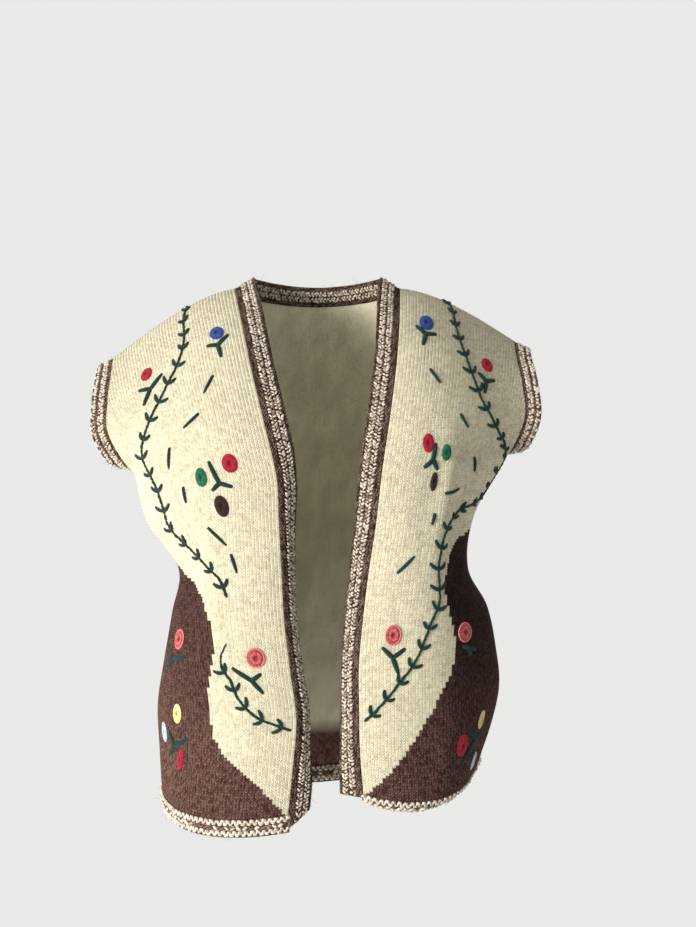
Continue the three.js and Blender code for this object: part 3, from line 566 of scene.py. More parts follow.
# %% Knit group
def build_knit_group():
    """Height of the V legs from U and V, and yarn colour: each leg is lighter or darker by a
    random number of its own. There are flecks and, on the brown, a painted highlight on the
    crowns of the legs, and painted shade in the grooves between."""
    tree, given, noise, u, v, out = new_group(
        "knitted_stitches", ("Main", "Fleck", "Groove Shade"), ("Shade", "Fleck Amount", "Purl"),
        ("Height", "Roughness"))
    shade, amount, purl_share = (Number(tree, given[k]) for k in ("Shade", "Fleck Amount", "Purl"))
    swell_of = lambda x: (x.op("FRACT") * math.pi).op("SINE") ** 0.7
    v = v + (noise(260, 1.0) - 0.5) * 0.35
    off = (u.op("FRACT") - 0.5).op("ABSOLUTE") * 2.0
    slant = v - off * 0.8
    leg = 1.0 - off ** 3.0 - (1.0 - off * 3.0).op("MAXIMUM", 0.0) * 0.45
    plain = (leg * 0.7 + 0.3) * (swell_of(slant) * 0.85 + 0.15)
    purl = swell_of(v + (u.op("FRACT") > 0.5) * 0.5)
    mixed = plain * (1.0 - purl_share) + purl * purl_share
    twist = (v * 19.0 + off * 9.0).op("SINE")
    cell = add(tree, "CombineXYZ", {0: (u * 2.0).op("FLOOR"), 1: slant.op("FLOOR")}).outputs[0]
    luck = Number(tree, add(tree, "TexWhiteNoise", {"Vector": cell},
                            noise_dimensions="2D").outputs["Value"])
    # fleck colour on the crowns of the legs: on the brown a painted highlight, plus flecks of the
    # yarn from the noise
    crown_flecks_and_highlight = ((luck - 0.38) * 2.6).clamped() * mixed ** 1.5
    crown_flecks_and_highlight = (crown_flecks_and_highlight * 0.75 + (noise(750, 2.0) > 0.56) * 0.45).clamped()
    # painted shade in the grooves between the legs, plus legs that are darker at random
    groove_shade_and_dark_tone = ((1.05 - mixed).clamped() ** 1.1 * 0.95 + ((0.35 - luck) * 1.2).clamped()).clamped()
    colour = mix_colours(tree, crown_flecks_and_highlight * amount, given["Main"], given["Fleck"])
    colour = mix_colours(tree, groove_shade_and_dark_tone, colour, given["Groove Shade"])
    feed(tree, out["Color"], toned(tree, colour, shade * 0.26 + 0.87))
    feed(tree, out["Height"], mixed + twist * 0.07 + noise(2600, 3.0) * 0.5)
    feed(tree, out["Roughness"], 1.0 - mixed * 0.15)
    return tree


knit_group = build_knit_group()

# %% [markdown]
# Cream and brown wool are knitted in one panel, so one material holds both, and a value on
# each stitch says which yarn it is worked in. The border between them then runs in the small
# steps that knitting makes. The brown is heathered. A painted shade darkens it from a paler
# brown near the hem to a deep brown higher up, most of all on the left front, where the light
# falls off. Wool scatters light softly at grazing angles, which the sheen of the shader gives.

# %% Knitted materials
CREAM = ((0.945, 0.915, 0.71), (0.76, 0.66, 0.43), (0.60, 0.51, 0.32))  # main; fleck, which on the brown is also a painted highlight; painted shade of the grooves
BROWN = ((0.152, 0.066, 0.050), (0.42, 0.27, 0.22), (0.026, 0.011, 0.008))
# the deep brown of painted shade, laid on the brown higher up the fronts
SHADED_BROWN = ((0.040, 0.019, 0.015), (0.13, 0.075, 0.055), (0.006, 0.003, 0.002))
MID = ((0.135, 0.068, 0.052), (0.50, 0.37, 0.29), (0.020, 0.010, 0.007))
DARK = ((0.052, 0.026, 0.017), (0.44, 0.32, 0.24), (0.010, 0.006, 0.004))


def rgba(colour):
    return (*colour, 1.0)


def dress(tree, group_tree, inputs, relief, **look):
    """Feeds the shader from a node group that reads the stitch coordinates and the place on
    the piece, with relief as the strength and the height in metres of its bump."""
    group = add(tree, "Group", {
        "Place": add(tree, "TexCoord", {}).outputs["Object"],
        "Stitch": add(tree, "UVMap", {}, uv_map="stitches").outputs["UV"],
        "Shade": value_of(tree, "shade"), **inputs}, node_tree=group_tree)
    bump = add(tree, "Bump", {"Strength": relief[0], "Distance": relief[1],
                              "Height": group.outputs["Height"]})
    results = {"Normal": bump.outputs["Normal"], "Base Color": group.outputs["Color"],
               "Sheen Roughness": 0.5, **look}
    if "Roughness" in group.outputs:
        results["Roughness"] = group.outputs["Roughness"]
    for title, value in results.items():
        feed(tree, tree.nodes["Principled BSDF"].inputs[title.replace("_", " ")], value)


def wool(name, purl, first, second=None, sheen=0.035):
    """Wool in one colour, or in two chosen by tone, the second darkened by painted shade."""
    material, tree = new_material(name)
    colours, amount = [rgba(c) for c in first], 0.75
    if second:
        tone, fade = value_of(tree, "tone"), value_of(tree, "fade")
        # painted shade: the brown is mixed towards the deep brown where its lighting value is low
        colours = [mix_colours(tree, tone, a, mix_colours(tree, fade, rgba(b), rgba(c)))
                   for a, b, c in zip(colours, SHADED_BROWN, second)]
        amount = tone * 0.38 + 0.30
    dress(tree, knit_group, {**dict(zip(("Main", "Fleck", "Groove Shade"), colours)), "Purl": purl,
                             "Fleck Amount": amount}, (1.0, 0.0009),
          Sheen_Weight=sheen, Specular_IOR_Level=0.06)
    return material


panel_wool = [wool("panel_wool", 0.0, CREAM, BROWN), wool("panel_wool_inside", 1.0, CREAM, BROWN)]
garter_dark = wool("garter_dark_wool", 1.0, DARK, sheen=0.02)
garter_brown = wool("garter_brown_wool", 1.0, MID)

# %% [markdown]
# ## Knitting the panels
# The columns of stitches run beside the front edge, a fixed width each, and end where they
# meet the side seam or the armhole. That is how a shaped piece is knitted: stitches are
# dropped at its edges. So a place is given by its distance from the front edge, held back
# where the panel ends, and the points that fall together there are merged.

# %% Stitch relief
WALE, COURSE, WALL = 4.15, 3.35, 3.0


def stitch_height(u, v):
    """A crown 1 - x^3 for each column, with x from its middle to the groove, swelling once for
    each row as the legs slant up, and a dip between the two legs."""
    x = np.abs(u - np.floor(u) - 0.5) * 2
    phase = (v - 0.8 * x) % 1
    crown = (0.4 + 0.6 * (1 - x ** 3)) * (0.35 + 0.65 * np.sin(np.pi * phase))
    return 1.5 * crown - 0.4 * np.clip(1 - x / 0.4, 0, 1)


# %% Borders of the brown wool
BROWN_EDGE = {  # row and share of the width
    "right": [(0.05, 0.02), (0.10, 0.03), (0.35, 0.09), (0.65, 0.16), (0.98, 0.25), (1.28, 0.34),
              (1.62, 0.39), (2.10, 0.41), (2.58, 0.41), (3.20, 0.38), (3.58, 0.36), (4.00, 0.38),
              (4.42, 0.43), (4.78, 0.55), (5.08, 0.73), (5.35, 1.01)],
    "left": [(0.0, 0.02), (0.10, 0.04), (0.55, 0.14), (0.93, 0.22), (1.45, 0.29), (1.88, 0.35),
             (2.30, 0.39), (2.70, 0.44), (3.18, 0.47), (3.55, 0.46), (4.10, 0.43), (4.60, 0.42),
             (5.05, 0.44), (5.40, 0.49), (5.65, 0.58), (5.95, 1.01)],
    "back": [(0.0, 0.80), (0.6, 0.55), (1.3, 0.38), (2.0, 0.30), (3.0, 0.26), (4.0, 0.22),
             (4.8, 0.12), (5.5, -0.01)],
}
BACK_LEAN = (-0.15, 0.45)   # rows by which the back's border rises to each side seam
PAINTED_LIGHT_ON_BROWN = {  # row, and how lit the brown is there: 0 gives the deep brown of painted shade
    "right": [(0, 0.95), (1.2, 1.0), (2.2, 0.8), (3.5, 0.55), (5.5, 0.25)],
    "left": [(0, 0.85), (1.2, 0.66), (2.6, 0.22), (4.0, 0.0)],
}


def worked_in_brown(name, share, row):
    rows, shares = np.array(BROWN_EDGE[name]).T
    beyond = np.sign(share - np.interp(row, rows, shares)) * (-1 if name == "back" else 1)
    return ((beyond > 0) & (row < rows[-1])).astype(float)


# %% Knit one panel
def knit_panel(name, node, across_steps, along_steps):
    """Points at whole fractions of a stitch: distance d from the front edge or the back's
    middle, turned into a share of the width there, then lifted by the stitch relief."""
    cloth, middle = panels[name], name == "back"
    length = lengths(cloth["point"][:, 32 if middle else 12])
    scale = np.linspace(0, 1, len(length))
    courses = int(round(length[-1] / COURSE))
    along_at = lambda course: np.interp(course / courses * length[-1], length, scale)
    width_at = lambda along: np.interp(along, scale, cloth["width"])
    v = np.arange(courses * along_steps + 1) / along_steps
    along = along_at(v)
    width = width_at(along)
    reach = (width / 2 if middle else width)[:, None]
    wales = int(np.ceil(reach.max() / WALE))
    d = np.arange(-wales * across_steps if middle else 0, wales * across_steps + 1)
    d = np.clip(d[None] / across_steps * WALE, -reach if middle else 0, reach)
    share = d / width[:, None] + (0.5 if middle else 0)
    u, v, rows = np.broadcast_arrays(d / WALE + (wales if middle else 0), v[:, None],
                                     along[:, None])

    def values_at(u, v, share, rows):
        """Each stitch takes its yarn and shade from its own middle, k columns and c rows in."""
        k, c = np.floor(u).astype(int), np.minimum(np.floor(v).astype(int), courses - 1)
        row = along_at(c + 0.5) * SHOULDER
        reached = (k + 0.5 - (wales if middle else 0)) * WALE / width_at(row / SHOULDER)
        if middle:
            row = row - 2 * np.abs(reached) * np.where(k < wales, *BACK_LEAN)
            reached = 0.5 - np.abs(reached)
        # painted shade on the brown: its lighting value falls from the hem upwards, fastest on the
        # left front; the back blends the two sides
        fade = {side: np.interp(rows * SHOULDER, *np.array(PAINTED_LIGHT_ON_BROWN[side]).T) for side in PAINTED_LIGHT_ON_BROWN}
        fade["back"] = fade["right"] * (1 - share) + fade["left"] * share
        return {"tone": worked_in_brown(name, reached, row), "fade": fade[name],
                "shade": rng.random((courses + 1, k.max() + 2))[c, k]}

    lift = stitch_height(u, v) if across_steps > 2 else 0.0     # too coarse for relief
    knitted(node, "_knit", cloth, share, rows, (u, v), lift, WALL, (6, 8), values_at,
            panel_wool)


fine = 4
knit_panel("right", "front_right", fine, 2)
knit_panel("left", "front_left", fine, 2)
knit_panel("back", "back", fine - 1, 1)

# %% [markdown]
# ## Garter bands
# Garter stitch is knitted to and fro, and every second row shows as a ridge of small bumps.
# Each band is picked up along an edge and worked in dark brown with two cream ridges, so it
# is modelled as a strip that starts on the edge and runs on across its width. A front band
# rolls back a little from its panel: the strip turns over its first centimetre by an angle
# that is read from a table along the edge.

# %% Frames along an edge
FRONT_BAND, HEM_BAND, ARMHOLE_BAND = 28.0, 22.0, 20.0
BAND_WALL, BEND, ARMHOLE_INSET = 3.6, 10.0, 2.6
HEM_SEAM_TURN, SEAM_LEAN, HEM_TUCK = 10.0, 0.2, 3.0


def dot(a, b):
    return (a * b).sum(-1, keepdims=True)


def square_to(aim, tangent, face):
    """Aim made square to the tangent, and the direction square to both on the face's side."""
    tangent = unit(tangent)
    across = unit(aim - dot(aim, tangent) * tangent)
    square = unit(np.cross(across, tangent))
    return across, square * np.sign(dot(square, face))


def edge_frame(tangent, normal, away):
    """Across is square to the edge and carries the panel on; face looks out of the cloth."""
    face, across = square_to(normal, tangent, away)
    return across, face


def strip(base, across, face, turn, width, steps=32):
    """Marches over the width: the way turns by turn * min(w / bend, 1) away from the face."""
    w = np.linspace(0, width, steps + 1)
    turn = np.radians(np.broadcast_to(turn, len(base)))[:, None]
    across, face = across[:, None], face[:, None]
    angle = lambda w: (turn * np.minimum(w / BEND, 1))[..., None]
    a = angle((w[1:] + w[:-1]) / 2)
    run = np.cumsum((across * np.cos(a) - face * np.sin(a)) * width / steps, axis=1)
    point = base[:, None] + np.concatenate([0 * run[:, :1], run], axis=1)
    a = angle(w)
    return {"point": point, "normal": face * np.cos(a) + across * np.sin(a), "width": width,
            "along": lengths(point[:, steps // 2])}


# %% Strips of the front, hem, armhole and neck bands
BAND_TURN = {
    "right": [(0, 20), (0.6, 24), (1.6, 56), (2.8, 62), (4.4, 60), (5.9, 50), (7, 34), (7.4, 18),
              (8, 6), (10, 6), (11, 8)],
    "left": [(0, 0), (0.6, 18), (1.3, 34), (2.9, 42), (3.7, 38), (4.9, 30), (6.1, 14), (7.6, 5),
             (10, 8), (11, 8)],
}
BAND_DROP = {"right": (16, -6), "left": (5, -1)}     # at the seam and at the free edge
ARMHOLE_AIM = [(0, 0.90, 0.30), (0.22, 0.86, -0.36), (0.5, 1, -0.06), (0.8, 0.95, -0.22),
               (1, 0.82, -0.57)]                     # place round it, way out, way up


def neck_aim(q):
    """Inward and up at the shoulders (q = 0 and 1), back and up behind the neck."""
    return np.stack([0.86 * np.cos(np.pi * q), 0.06 - 0.72 * np.sin(np.pi * q),
                     0.46 + 0.29 * np.sin(np.pi * q)], -1)


def front_strip(name):
    cloth = panels[name]
    along = np.linspace(0, 0.9982, 340)
    row = along * SHOULDER
    base, tangent = on(cloth, 0, along), on(cloth, 0, along + 0.002) - on(cloth, 0, along - 0.002)
    across, face = edge_frame(tangent, facing(cloth, 0.01, along), base - on(cloth, 0.05, along))
    top = smoothstep(9.4, SHOULDER, row)[:, None]
    aim = across + (neck_aim(np.float64(name == "left")) - across) * top
    across, face = square_to(aim, tangent, face)
    turn = np.interp(row, *np.array(BAND_TURN[name]).T) * (1 - top[:, 0])
    band = strip(base, across, face, turn, FRONT_BAND)
    low = np.clip(1 - row / 0.175, 0, 1)[:, None]
    band["point"][..., 2] -= low * np.linspace(*BAND_DROP[name], band["point"].shape[1])
    return band


def hem_strip(name, turn):
    cloth, whole = panels[name], name == "back"
    s = np.linspace(0, 1, 221) if whole else np.linspace(0.004, 1, 121)
    base = on(cloth, s, 0)
    across, face = edge_frame(on(cloth, s + 0.01, 0) - on(cloth, s - 0.01, 0),
                              facing(cloth, s, 0.002), base - on(cloth, s, 0.02))
    seam = smoothstep(0.8, 1, 2 * np.abs(s - 0.5) if whole else s)[:, None]
    shared = unit(np.stack([SEAM_LEAN * np.sign(base[:, 0]), 0 * s, 0 * s - 1], 1))
    across = across + (shared - across) * seam
    if not whole:
        across[:, 0] *= smoothstep(0, 0.25, s)
        tuck = np.clip(1 - s / 0.04, 0, 1)[:, None]
        base = base + unit(base[:1] - base[4:5]) * HEM_TUCK * tuck
    across = unit(across)
    face = unit(face - dot(face, across) * across)
    return strip(base, across, face, turn + (HEM_SEAM_TURN - turn) * seam[:, 0], HEM_BAND)


def armhole_strip(name):
    out = -1 if name == "right" else 1
    t = np.linspace(0, 1, 91) ** 1.25
    along = (UNDERARM + t * (SHOULDER - UNDERARM)) / SHOULDER
    back = on(panels["back"], 0 if out < 0 else 1, along)
    base = np.concatenate([on(panels[name], 1, along), back[-2:0:-1]])
    t = np.r_[t, t[-2:0:-1]]
    place, far, high = np.array(ARMHOLE_AIM).T
    aim = np.stack([out * np.interp(t, place, far), 0 * t, np.interp(t, place, high)], 1)
    across, face = square_to(aim, np.roll(base, -7, axis=0) - np.roll(base, 7, axis=0),
                             base - base.mean(0))
    base = base - face * (ARMHOLE_INSET * (1 - t))[:, None]
    closed = (np.concatenate([a, a[:1]]) for a in (base, across, face))
    return strip(*closed, 0.0, ARMHOLE_BAND)


def neck_strip():
    q = np.linspace(0.008, 0.992, 140)
    s = NECK_SHARE + q * (1 - 2 * NECK_SHARE)
    at = lambda s, t: on(panels["back"], np.clip(s, NECK_SHARE, 1 - NECK_SHARE), t)
    base, tangent = at(s, 1), at(s + 0.01, 1) - at(s - 0.01, 1)
    up = np.array([0, 1, 1])
    aim, _ = square_to(neck_aim(q), tangent, up)
    own, _ = edge_frame(tangent, facing(panels["back"], s, 0.998),
                        base - at(s, 1 - 0.3 / SHOULDER))
    share = smoothstep(0.02, 0.2, 0.5 - np.abs(q - 0.5))[:, None]
    across, face = square_to(aim + (own - aim) * share, tangent, up)
    turn = np.degrees(np.arctan2(-dot(aim, face), dot(aim, across)))[:, 0]
    return strip(base, across, face, turn, FRONT_BAND)


# %% Knit the bands
BUMP_ROW, BAND_STEPS = 3.5, 24


def garter_height(u, v):
    """Bumps of two neighbouring rows, half a stitch apart, |sin(2 pi u)|^.5 sin(pi v')^.8."""
    v = (v + 0.5 * ((u % 1) > 0.5)) % 1
    return np.abs(np.sin(2 * np.pi * u)) ** 0.5 * np.sin(np.pi * v) ** 0.8


def along_band(band, share):
    """Place in the band's table at a share of its length."""
    return np.interp(share * band["along"][-1], band["along"],
                     np.linspace(0, 1, len(band["along"])))


RIDGE_REACH, RIDGE_RISE, GARTER_RISE, EDGE_RISE = 2.9, 0.8, 1.5, 0.3


def knit_band(node, band, pitch, ridges):
    """Wall of the band with its low ridges. The bands along the fronts and the neck are of
    the darkest wool."""
    length, width = band["along"][-1], band["width"]
    count = int(round(length / pitch))
    v = np.arange(count * 4 + 1) / 4
    share, rows = np.meshgrid(np.linspace(0, 1, BAND_STEPS + 1), along_band(band, v / count))
    u, v = np.broadcast_arrays(share * width / BUMP_ROW, v[:, None])
    height = sum(np.exp(-((share - at) * width / RIDGE_REACH) ** 2) for at in ridges)
    height = RIDGE_RISE * height + GARTER_RISE * garter_height(u, v)
    edge = (share == 0) | (share == 1)
    shades = lambda u, v, *_: {
        "shade": rng.random((count + 1, int(u.max()) + 2))[v.astype(int), u.astype(int)]}
    edges = np.linalg.norm(np.diff(band["point"], axis=0), axis=2).sum(0)
    wool_here = garter_dark if node.startswith("band") else garter_brown
    knitted(node, "_garter", band, share, rows, (u, v),
            np.where(edge, height * EDGE_RISE, height), BAND_WALL, (4, 6), shades,
            [wool_here] * 2)


bands = {  # strip, stitch pitch in mm, where the two ridges lie across it, and how bold
    "band_front_right": (front_strip("right"), 4.2, (0.41, 0.725), 1.0),
    "band_front_left": (front_strip("left"), 4.2, (0.41, 0.725), 1.0),
    "band_neck": (neck_strip(), 4.2, (0.41, 0.725), 1.0),
    "hem_front_right": (hem_strip("right", 8), 7.0, (0.17, 0.76), 1.35),
    "hem_front_left": (hem_strip("left", 58), 7.0, (0.17, 0.76), 1.35),
    "hem_back": (hem_strip("back", 10), 7.0, (0.17, 0.76), 1.35),
    "armhole_band_right": (armhole_strip("right"), 4.2, (0.39, 0.86), 1.25),
    "armhole_band_left": (armhole_strip("left"), 4.2, (0.39, 0.86), 1.25),
}
for node, item in bands.items():
    knit_band(node, *item[:3])

# %% [markdown]
# ## Yarn laid on the surface
# Ridge bumps, vine stitches, leaves and flowers are all short lengths of yarn that lie on the
# cloth. One function makes them: it takes many routes at once, rings each route with a few
# points, pinches the ends and closes them. A stitch ends where the needle takes it through
# the cloth, so both ends dive under the surface.


# %% Short lengths of yarn
def yarn(name, routes, normals, radius, material, sides=6, flat=1.0, shade=None):
    """Closed tubes: routes and normals are (count, places, 3), radius and shade (count,
    places). Without a shade each tube gets its own, between 0.5 and 1."""
    count, places = routes.shape[:2]
    tangent = unit(np.gradient(routes, axis=1))
    side = unit(np.cross(tangent, normals))
    up = np.cross(side, tangent)
    k = np.arange(sides)
    angle = (2 * np.pi * k / sides)[:, None]
    ring = (side[:, :, None] * np.cos(angle) + up[:, :, None] * np.sin(angle) * flat)
    rings = (routes[:, :, None] + ring * radius[..., None, None]).reshape(count, -1, 3)
    ends = np.stack([routes[:, 0] - tangent[:, 0] * radius[:, :1] * 0.5,
                     routes[:, -1] + tangent[:, -1] * radius[:, -1:] * 0.5], 1)
    points = np.concatenate([rings, ends], 1)
    following, first = (k + 1) % sides, places * sides
    faces = []
    for i in range(0, first - sides, sides):
        a, b = i + k, i + following
        faces += [np.stack([a, b, b + sides], 1), np.stack([a, b + sides, a + sides], 1)]
    faces += [np.stack([0 * k + first, following, k], 1),
              np.stack([0 * k + first + 1, first - sides + k, first - sides + following], 1)]
    start = points.shape[1] * np.arange(count)[:, None, None]
    triangles = (np.concatenate(faces)[None] + start).reshape(-1, 3)
    run = np.linalg.norm(np.diff(routes, axis=1), axis=2).cumsum(1)
    run = np.concatenate([0 * run[:, :1], run], 1)
    if shade is None:
        shade = np.repeat(0.5 + 0.5 * rng.random((count, 1)), places, 1)
    each = lambda a: np.concatenate([np.repeat(a, sides, 1), a[:, :1], a[:, -1:]], 1).ravel()
    u = np.concatenate([np.tile(k / sides, (count, places)), np.zeros((count, 2))], 1).ravel()
    points = points.reshape(-1, 3)
    return make_object(name, points, outward(points, triangles), [material],
                       np.stack([u, each(run)], 1), {"shade": each(shade)})


# %% [markdown]
# A strand is spun from plies that wind round it. The node group draws their slanting grooves
# from the strand's own coordinates, once round and along in millimetres, as bump and as
# painted shade, and adds fuzz.


# %% Yarn group
def build_yarn_group():
    """Plies |sin(pi (u + v / ply))|, with painted shade in their grooves, darker in spots, and
    where the shade is low."""
    tree, given, noise, u, v, out = new_group(
        "spun_yarn", ("Main", "Deep"), ("Shade", "Ply"), ("Height",))
    shade, pitch = Number(tree, given["Shade"]), Number(tree, given["Ply"])
    ply = ((u + v / pitch) * math.pi).op("SINE").op("ABSOLUTE")
    # painted shade in the grooves between the plies, plus darker spots of the yarn
    groove_shade_and_dark_tone = (1.0 - ply ** 0.5).clamped() * 0.5 + (noise(500, 2.0) > 0.56) * 0.3
    groove_shade_and_dark_tone = (groove_shade_and_dark_tone + (1.0 - shade) * 0.85).clamped()
    colour = mix_colours(tree, groove_shade_and_dark_tone, given["Main"], given["Deep"])
    feed(tree, out["Color"], toned(tree, colour, shade * 0.25 + 0.8))
    feed(tree, out["Height"], ply * 0.8 + noise(3000, 3.0) * 0.6)
    return tree


yarn_group = build_yarn_group()


def yarn_material(name, main, deep, ply):
    material, tree = new_material(name)
    dress(tree, yarn_group, {"Main": rgba(main), "Deep": rgba(deep), "Ply": ply}, (0.7, 0.0005),
          Roughness=0.9, Specular_IOR_Level=0.2, Sheen_Weight=0.12)
    return material


# %% [markdown]
# The bumps of one garter ridge are the tops of two rows that interlock. On the narrow bands
# they show as slanting dashes that meet in chevrons, and on the hem, which is knitted looser,
# as a zigzag of arcs with a few dashes below it. Each is one length of cream yarn whose ends
# dive between its neighbours, so the dark wool shows through in flecks.

# %% Cream ridges of the bands
LOOP_RADIUS, LOOP_LIFT, HEM_BOLD = 1.35, 1.9, 1.3
DASH_BELOW, DASH_RUN = 0.31, 0.32
loop_wool = yarn_material("garter_cream_wool", (0.90, 0.82, 0.66), (0.24, 0.15, 0.11), 3.0)


def ridge_loops(node, band, pitch, ridges, bold, inside=False):
    """Chevrons: w = middle +- (1.8 + 1.6 q) and l = step + 0.3 pitch q, for q from -1 to 1,
    sunk at their ends. A hem has a zigzag, w = middle +- (3.2 cos(1.35 q) - 0.6) and l = step +
    0.27 pitch q, with slanting dashes below it, w = 1.7 q and l = +- 0.32 pitch q."""
    width, hem = band["width"], bold > HEM_BOLD
    count = int(round(band["along"][-1] / pitch))
    size = (width / FRONT_BAND) ** 0.5
    q = np.linspace(-1, 1, 4)[None]
    k = np.arange(count)[:, None]
    chance = lambda low, high: low + (high - low) * rng.random((count, 1))
    made = []
    for middle in ridges:
        for side in (-1, 0, 1) if hem else (-1, 1):
            step = k + 0.5 + side / 4 + chance(-0.5, 0.5) * (0.15 if hem else 0.5)
            swing = 3.2 * np.cos(q * 1.35) - 0.6 if hem else 1.8 + 1.6 * q
            swing = side * swing * chance(0.8, 1.2)
            run = 0.27 + chance(-0.5, 0.5) * (0 if hem else 0.6)
            if side == 0:
                swing, run = 1.7 * q * chance(0.7, 1.2), np.where(k % 2, DASH_RUN, -DASH_RUN)
            share = middle + swing * size / width + (DASH_BELOW if side == 0 else 0)
            rows = along_band(band, (step + run * q) / count)
            lift = LOOP_LIFT * (0.15 + 0.85 * np.cos(q * 1.2)) * chance(0.8, 1.2)
            if inside:
                lift = -BAND_WALL - lift * 0.5
            keep = chance(0, 1)[:, 0] < (0.6 if side == 0 else 1.0)
            keep &= share.max(1) < 1.0
            tone = chance(0, 1) ** (0.2 if side and bold > 1 else 0.33) + 0 * q
            made.append([a[keep] for a in (on(band, share, rows, lift),
                                           facing(band, share, rows), tone)])
    routes, normals, shade = (np.concatenate(a) for a in zip(*made))
    taper = 0.85 if hem else 0.65
    thick = LOOP_RADIUS * size * bold ** 1.7 * np.array([[taper, 1.0, 1.0, taper]])
    thick = thick * (0.75 + 0.45 * rng.random((len(routes), 1)))
    yarn(node + ("_ridges_inside" if inside else "_ridges"), routes, normals, thick, loop_wool,
         sides=4 if inside else 5, flat=0.85, shade=shade)
    return len(routes)


loops = sum(ridge_loops(node, *item, inside=inside)
            for inside in (False, True) for node, item in bands.items())
print(loops, "cream bumps on the bands")

# %% [markdown]
# The bands are the most handled part of the vest, and loose fibres stand off them. They soften
# the outline, which is otherwise too sharp for wool. Each is a very thin strand that leaves the
# cloth upright, bends over and ends free, and half of them sit right on an edge.

# %% Loose fibres
FIBRE_SPACING, FIBRE_DRIFT = 2.2, 2.4
FIBRE_RADII = 0.14 * np.array([1, 1, 0.8, 0.5])
fibre_wool = yarn_material("loose_fibres", (0.30, 0.21, 0.16), (0.12, 0.08, 0.06), 3.0)


def fibres(node, band):
    """Routes base + normal (0.5 + a t) + drift t^2, with a from 1 to 3 mm and a random drift."""
    count = int(band["along"][-1] / FIBRE_SPACING)
    share, rows = rng.random((2, count, 1))
    share = np.where(rng.random((count, 1)) < 0.5, share, np.round(share))
    drift = rng.normal(size=(count, 1, 3)) * FIBRE_DRIFT
    t = np.linspace(0, 1, 4)[None, :, None]
    up = facing(band, share, rows) * (1 + 2 * rng.random((count, 1, 1)))
    routes = on(band, share, rows, 0.5) + up * t + drift * t ** 2
    yarn(node + "_fibres", routes, np.broadcast_to(unit(drift), routes.shape),
         np.broadcast_to(FIBRE_RADII, (count, 4)), fibre_wool, sides=3)
    return count


print(sum(fibres(node, item[0]) for node, item in bands.items()), "loose fibres")

# %% [markdown]
# ## Embroidery
# Everything on the fronts is sewn with a thick needle in a few simple ways. A vine is a line
# of overlapping straight stitches with pairs of leaves, a sprig is three thick leaves from one
# point, and a flower is a wheel of threads from its rim to its middle. Positions are read in
# the panel's coordinates, and the small offsets of each stitch are in millimetres as seen
# from the front, so they are turned into panel coordinates first.

# %% Millimetres on a panel
STITCH_LIFT = 1.5


def moved(cloth, s, row, x, z, level=True):
    """Panel coordinates of a place shifted by x to the right and z up. With level, the shift
    is measured as seen from the front, otherwise along the cloth."""
    e = 0.004
    s, row, x, z = np.broadcast_arrays(*(np.asarray(v, float) for v in (s, row, x, z)))
    along = row / SHOULDER
    across = (on(cloth, s + e, along) - on(cloth, s - e, along)) / (2 * e)
    up = (on(cloth, s, along + e) - on(cloth, s, along - e)) / (2 * e * SHOULDER)
    if level:
        return s + x / across[..., 0], row + z / up[..., 2]
    size = np.linalg.norm(across, axis=-1) * np.sign(across[..., 0])
    return s + x / size, row + z / np.linalg.norm(up, axis=-1)


def stitches(cloth, ends, radius, lift=STITCH_LIFT, places=6, arch=0):
    """Stitches as routes: ends is (count, 4) of s, row, s, row, and arch is what is added
    halfway, as sin(pi t). The yarn bulges to its radius in the middle, rises from the cloth
    as sin(pi t)^0.4 and is sunk at both ends."""
    t = np.linspace(0, 1, places)
    wave = lambda margin, power: np.sin(np.pi * np.clip(t, margin, 1 - margin)) ** power
    start, end = np.split(np.asarray(ends, float)[:, :, None], 2, axis=1)
    arch = np.broadcast_to(arch, (len(ends), 2))[..., None]
    path = start + (end - start) * t + arch * np.sin(np.pi * t)
    s, along = path[:, 0], path[:, 1] / SHOULDER
    tall, thick = (np.broadcast_to(a, len(ends))[:, None] for a in (lift, radius))
    return (on(cloth, s, along, tall * wave(0.03, 0.4)), facing(cloth, s, along),
            thick * (0.55 + 0.45 * wave(0.02, 0.5)))


def sew(name, node, groups, thread, slot):
    """One object from several groups of routes, normals, radii and maybe shades; it stands for
    the plain pad of the same name."""
    shades = [g[3] if len(g) > 3 else np.repeat(0.7 + 0.3 * rng.random((len(g[0]), 1)),
                                                g[0].shape[1], 1) for g in groups]
    routes, normals, radius = (np.concatenate([g[k] for g in groups]) for k in range(3))
    piece = yarn(name, routes, normals, radius, threads[thread], flat=0.9,
                 shade=np.concatenate(shades))
    if node:
        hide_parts(node)


def linear(code):
    """Linear colour of a hex code: ((c + 0.055) / 1.055)^2.4 for each channel."""
    c = np.array([int(code[k:k + 2], 16) for k in (0, 2, 4)]) / 255
    return tuple(np.where(c > 0.04, ((c + 0.055) / 1.055) ** 2.4, c / 12.92))


THREAD = {
    "vine": ("1c3d32", "0a1f1a"), "blue": ("3a5cae", "14235a"), "red": ("c3223c", "6d0f22"),
    "green": ("237a50", "0f3d29"), "umber": ("40291f", "1c110d"), "coral": ("f58f88", "8a1f2c"),
    "yellow": ("f6ecab", "b59f55"), "sky": ("cfe6ee", "86a9b8"),
}
threads = {name: yarn_material("thread_" + name, linear(main), linear(deep), 1.7)
           for name, (main, deep) in THREAD.items()}

# %% [markdown]
# The vines are guided by a few places on each panel. A smooth curve runs through them, and the
# stitches are laid out along it by length: each stem stitch starts before the last one ends,
# and each leaf pair leans back towards the top of the vine, two strands for a leaf.

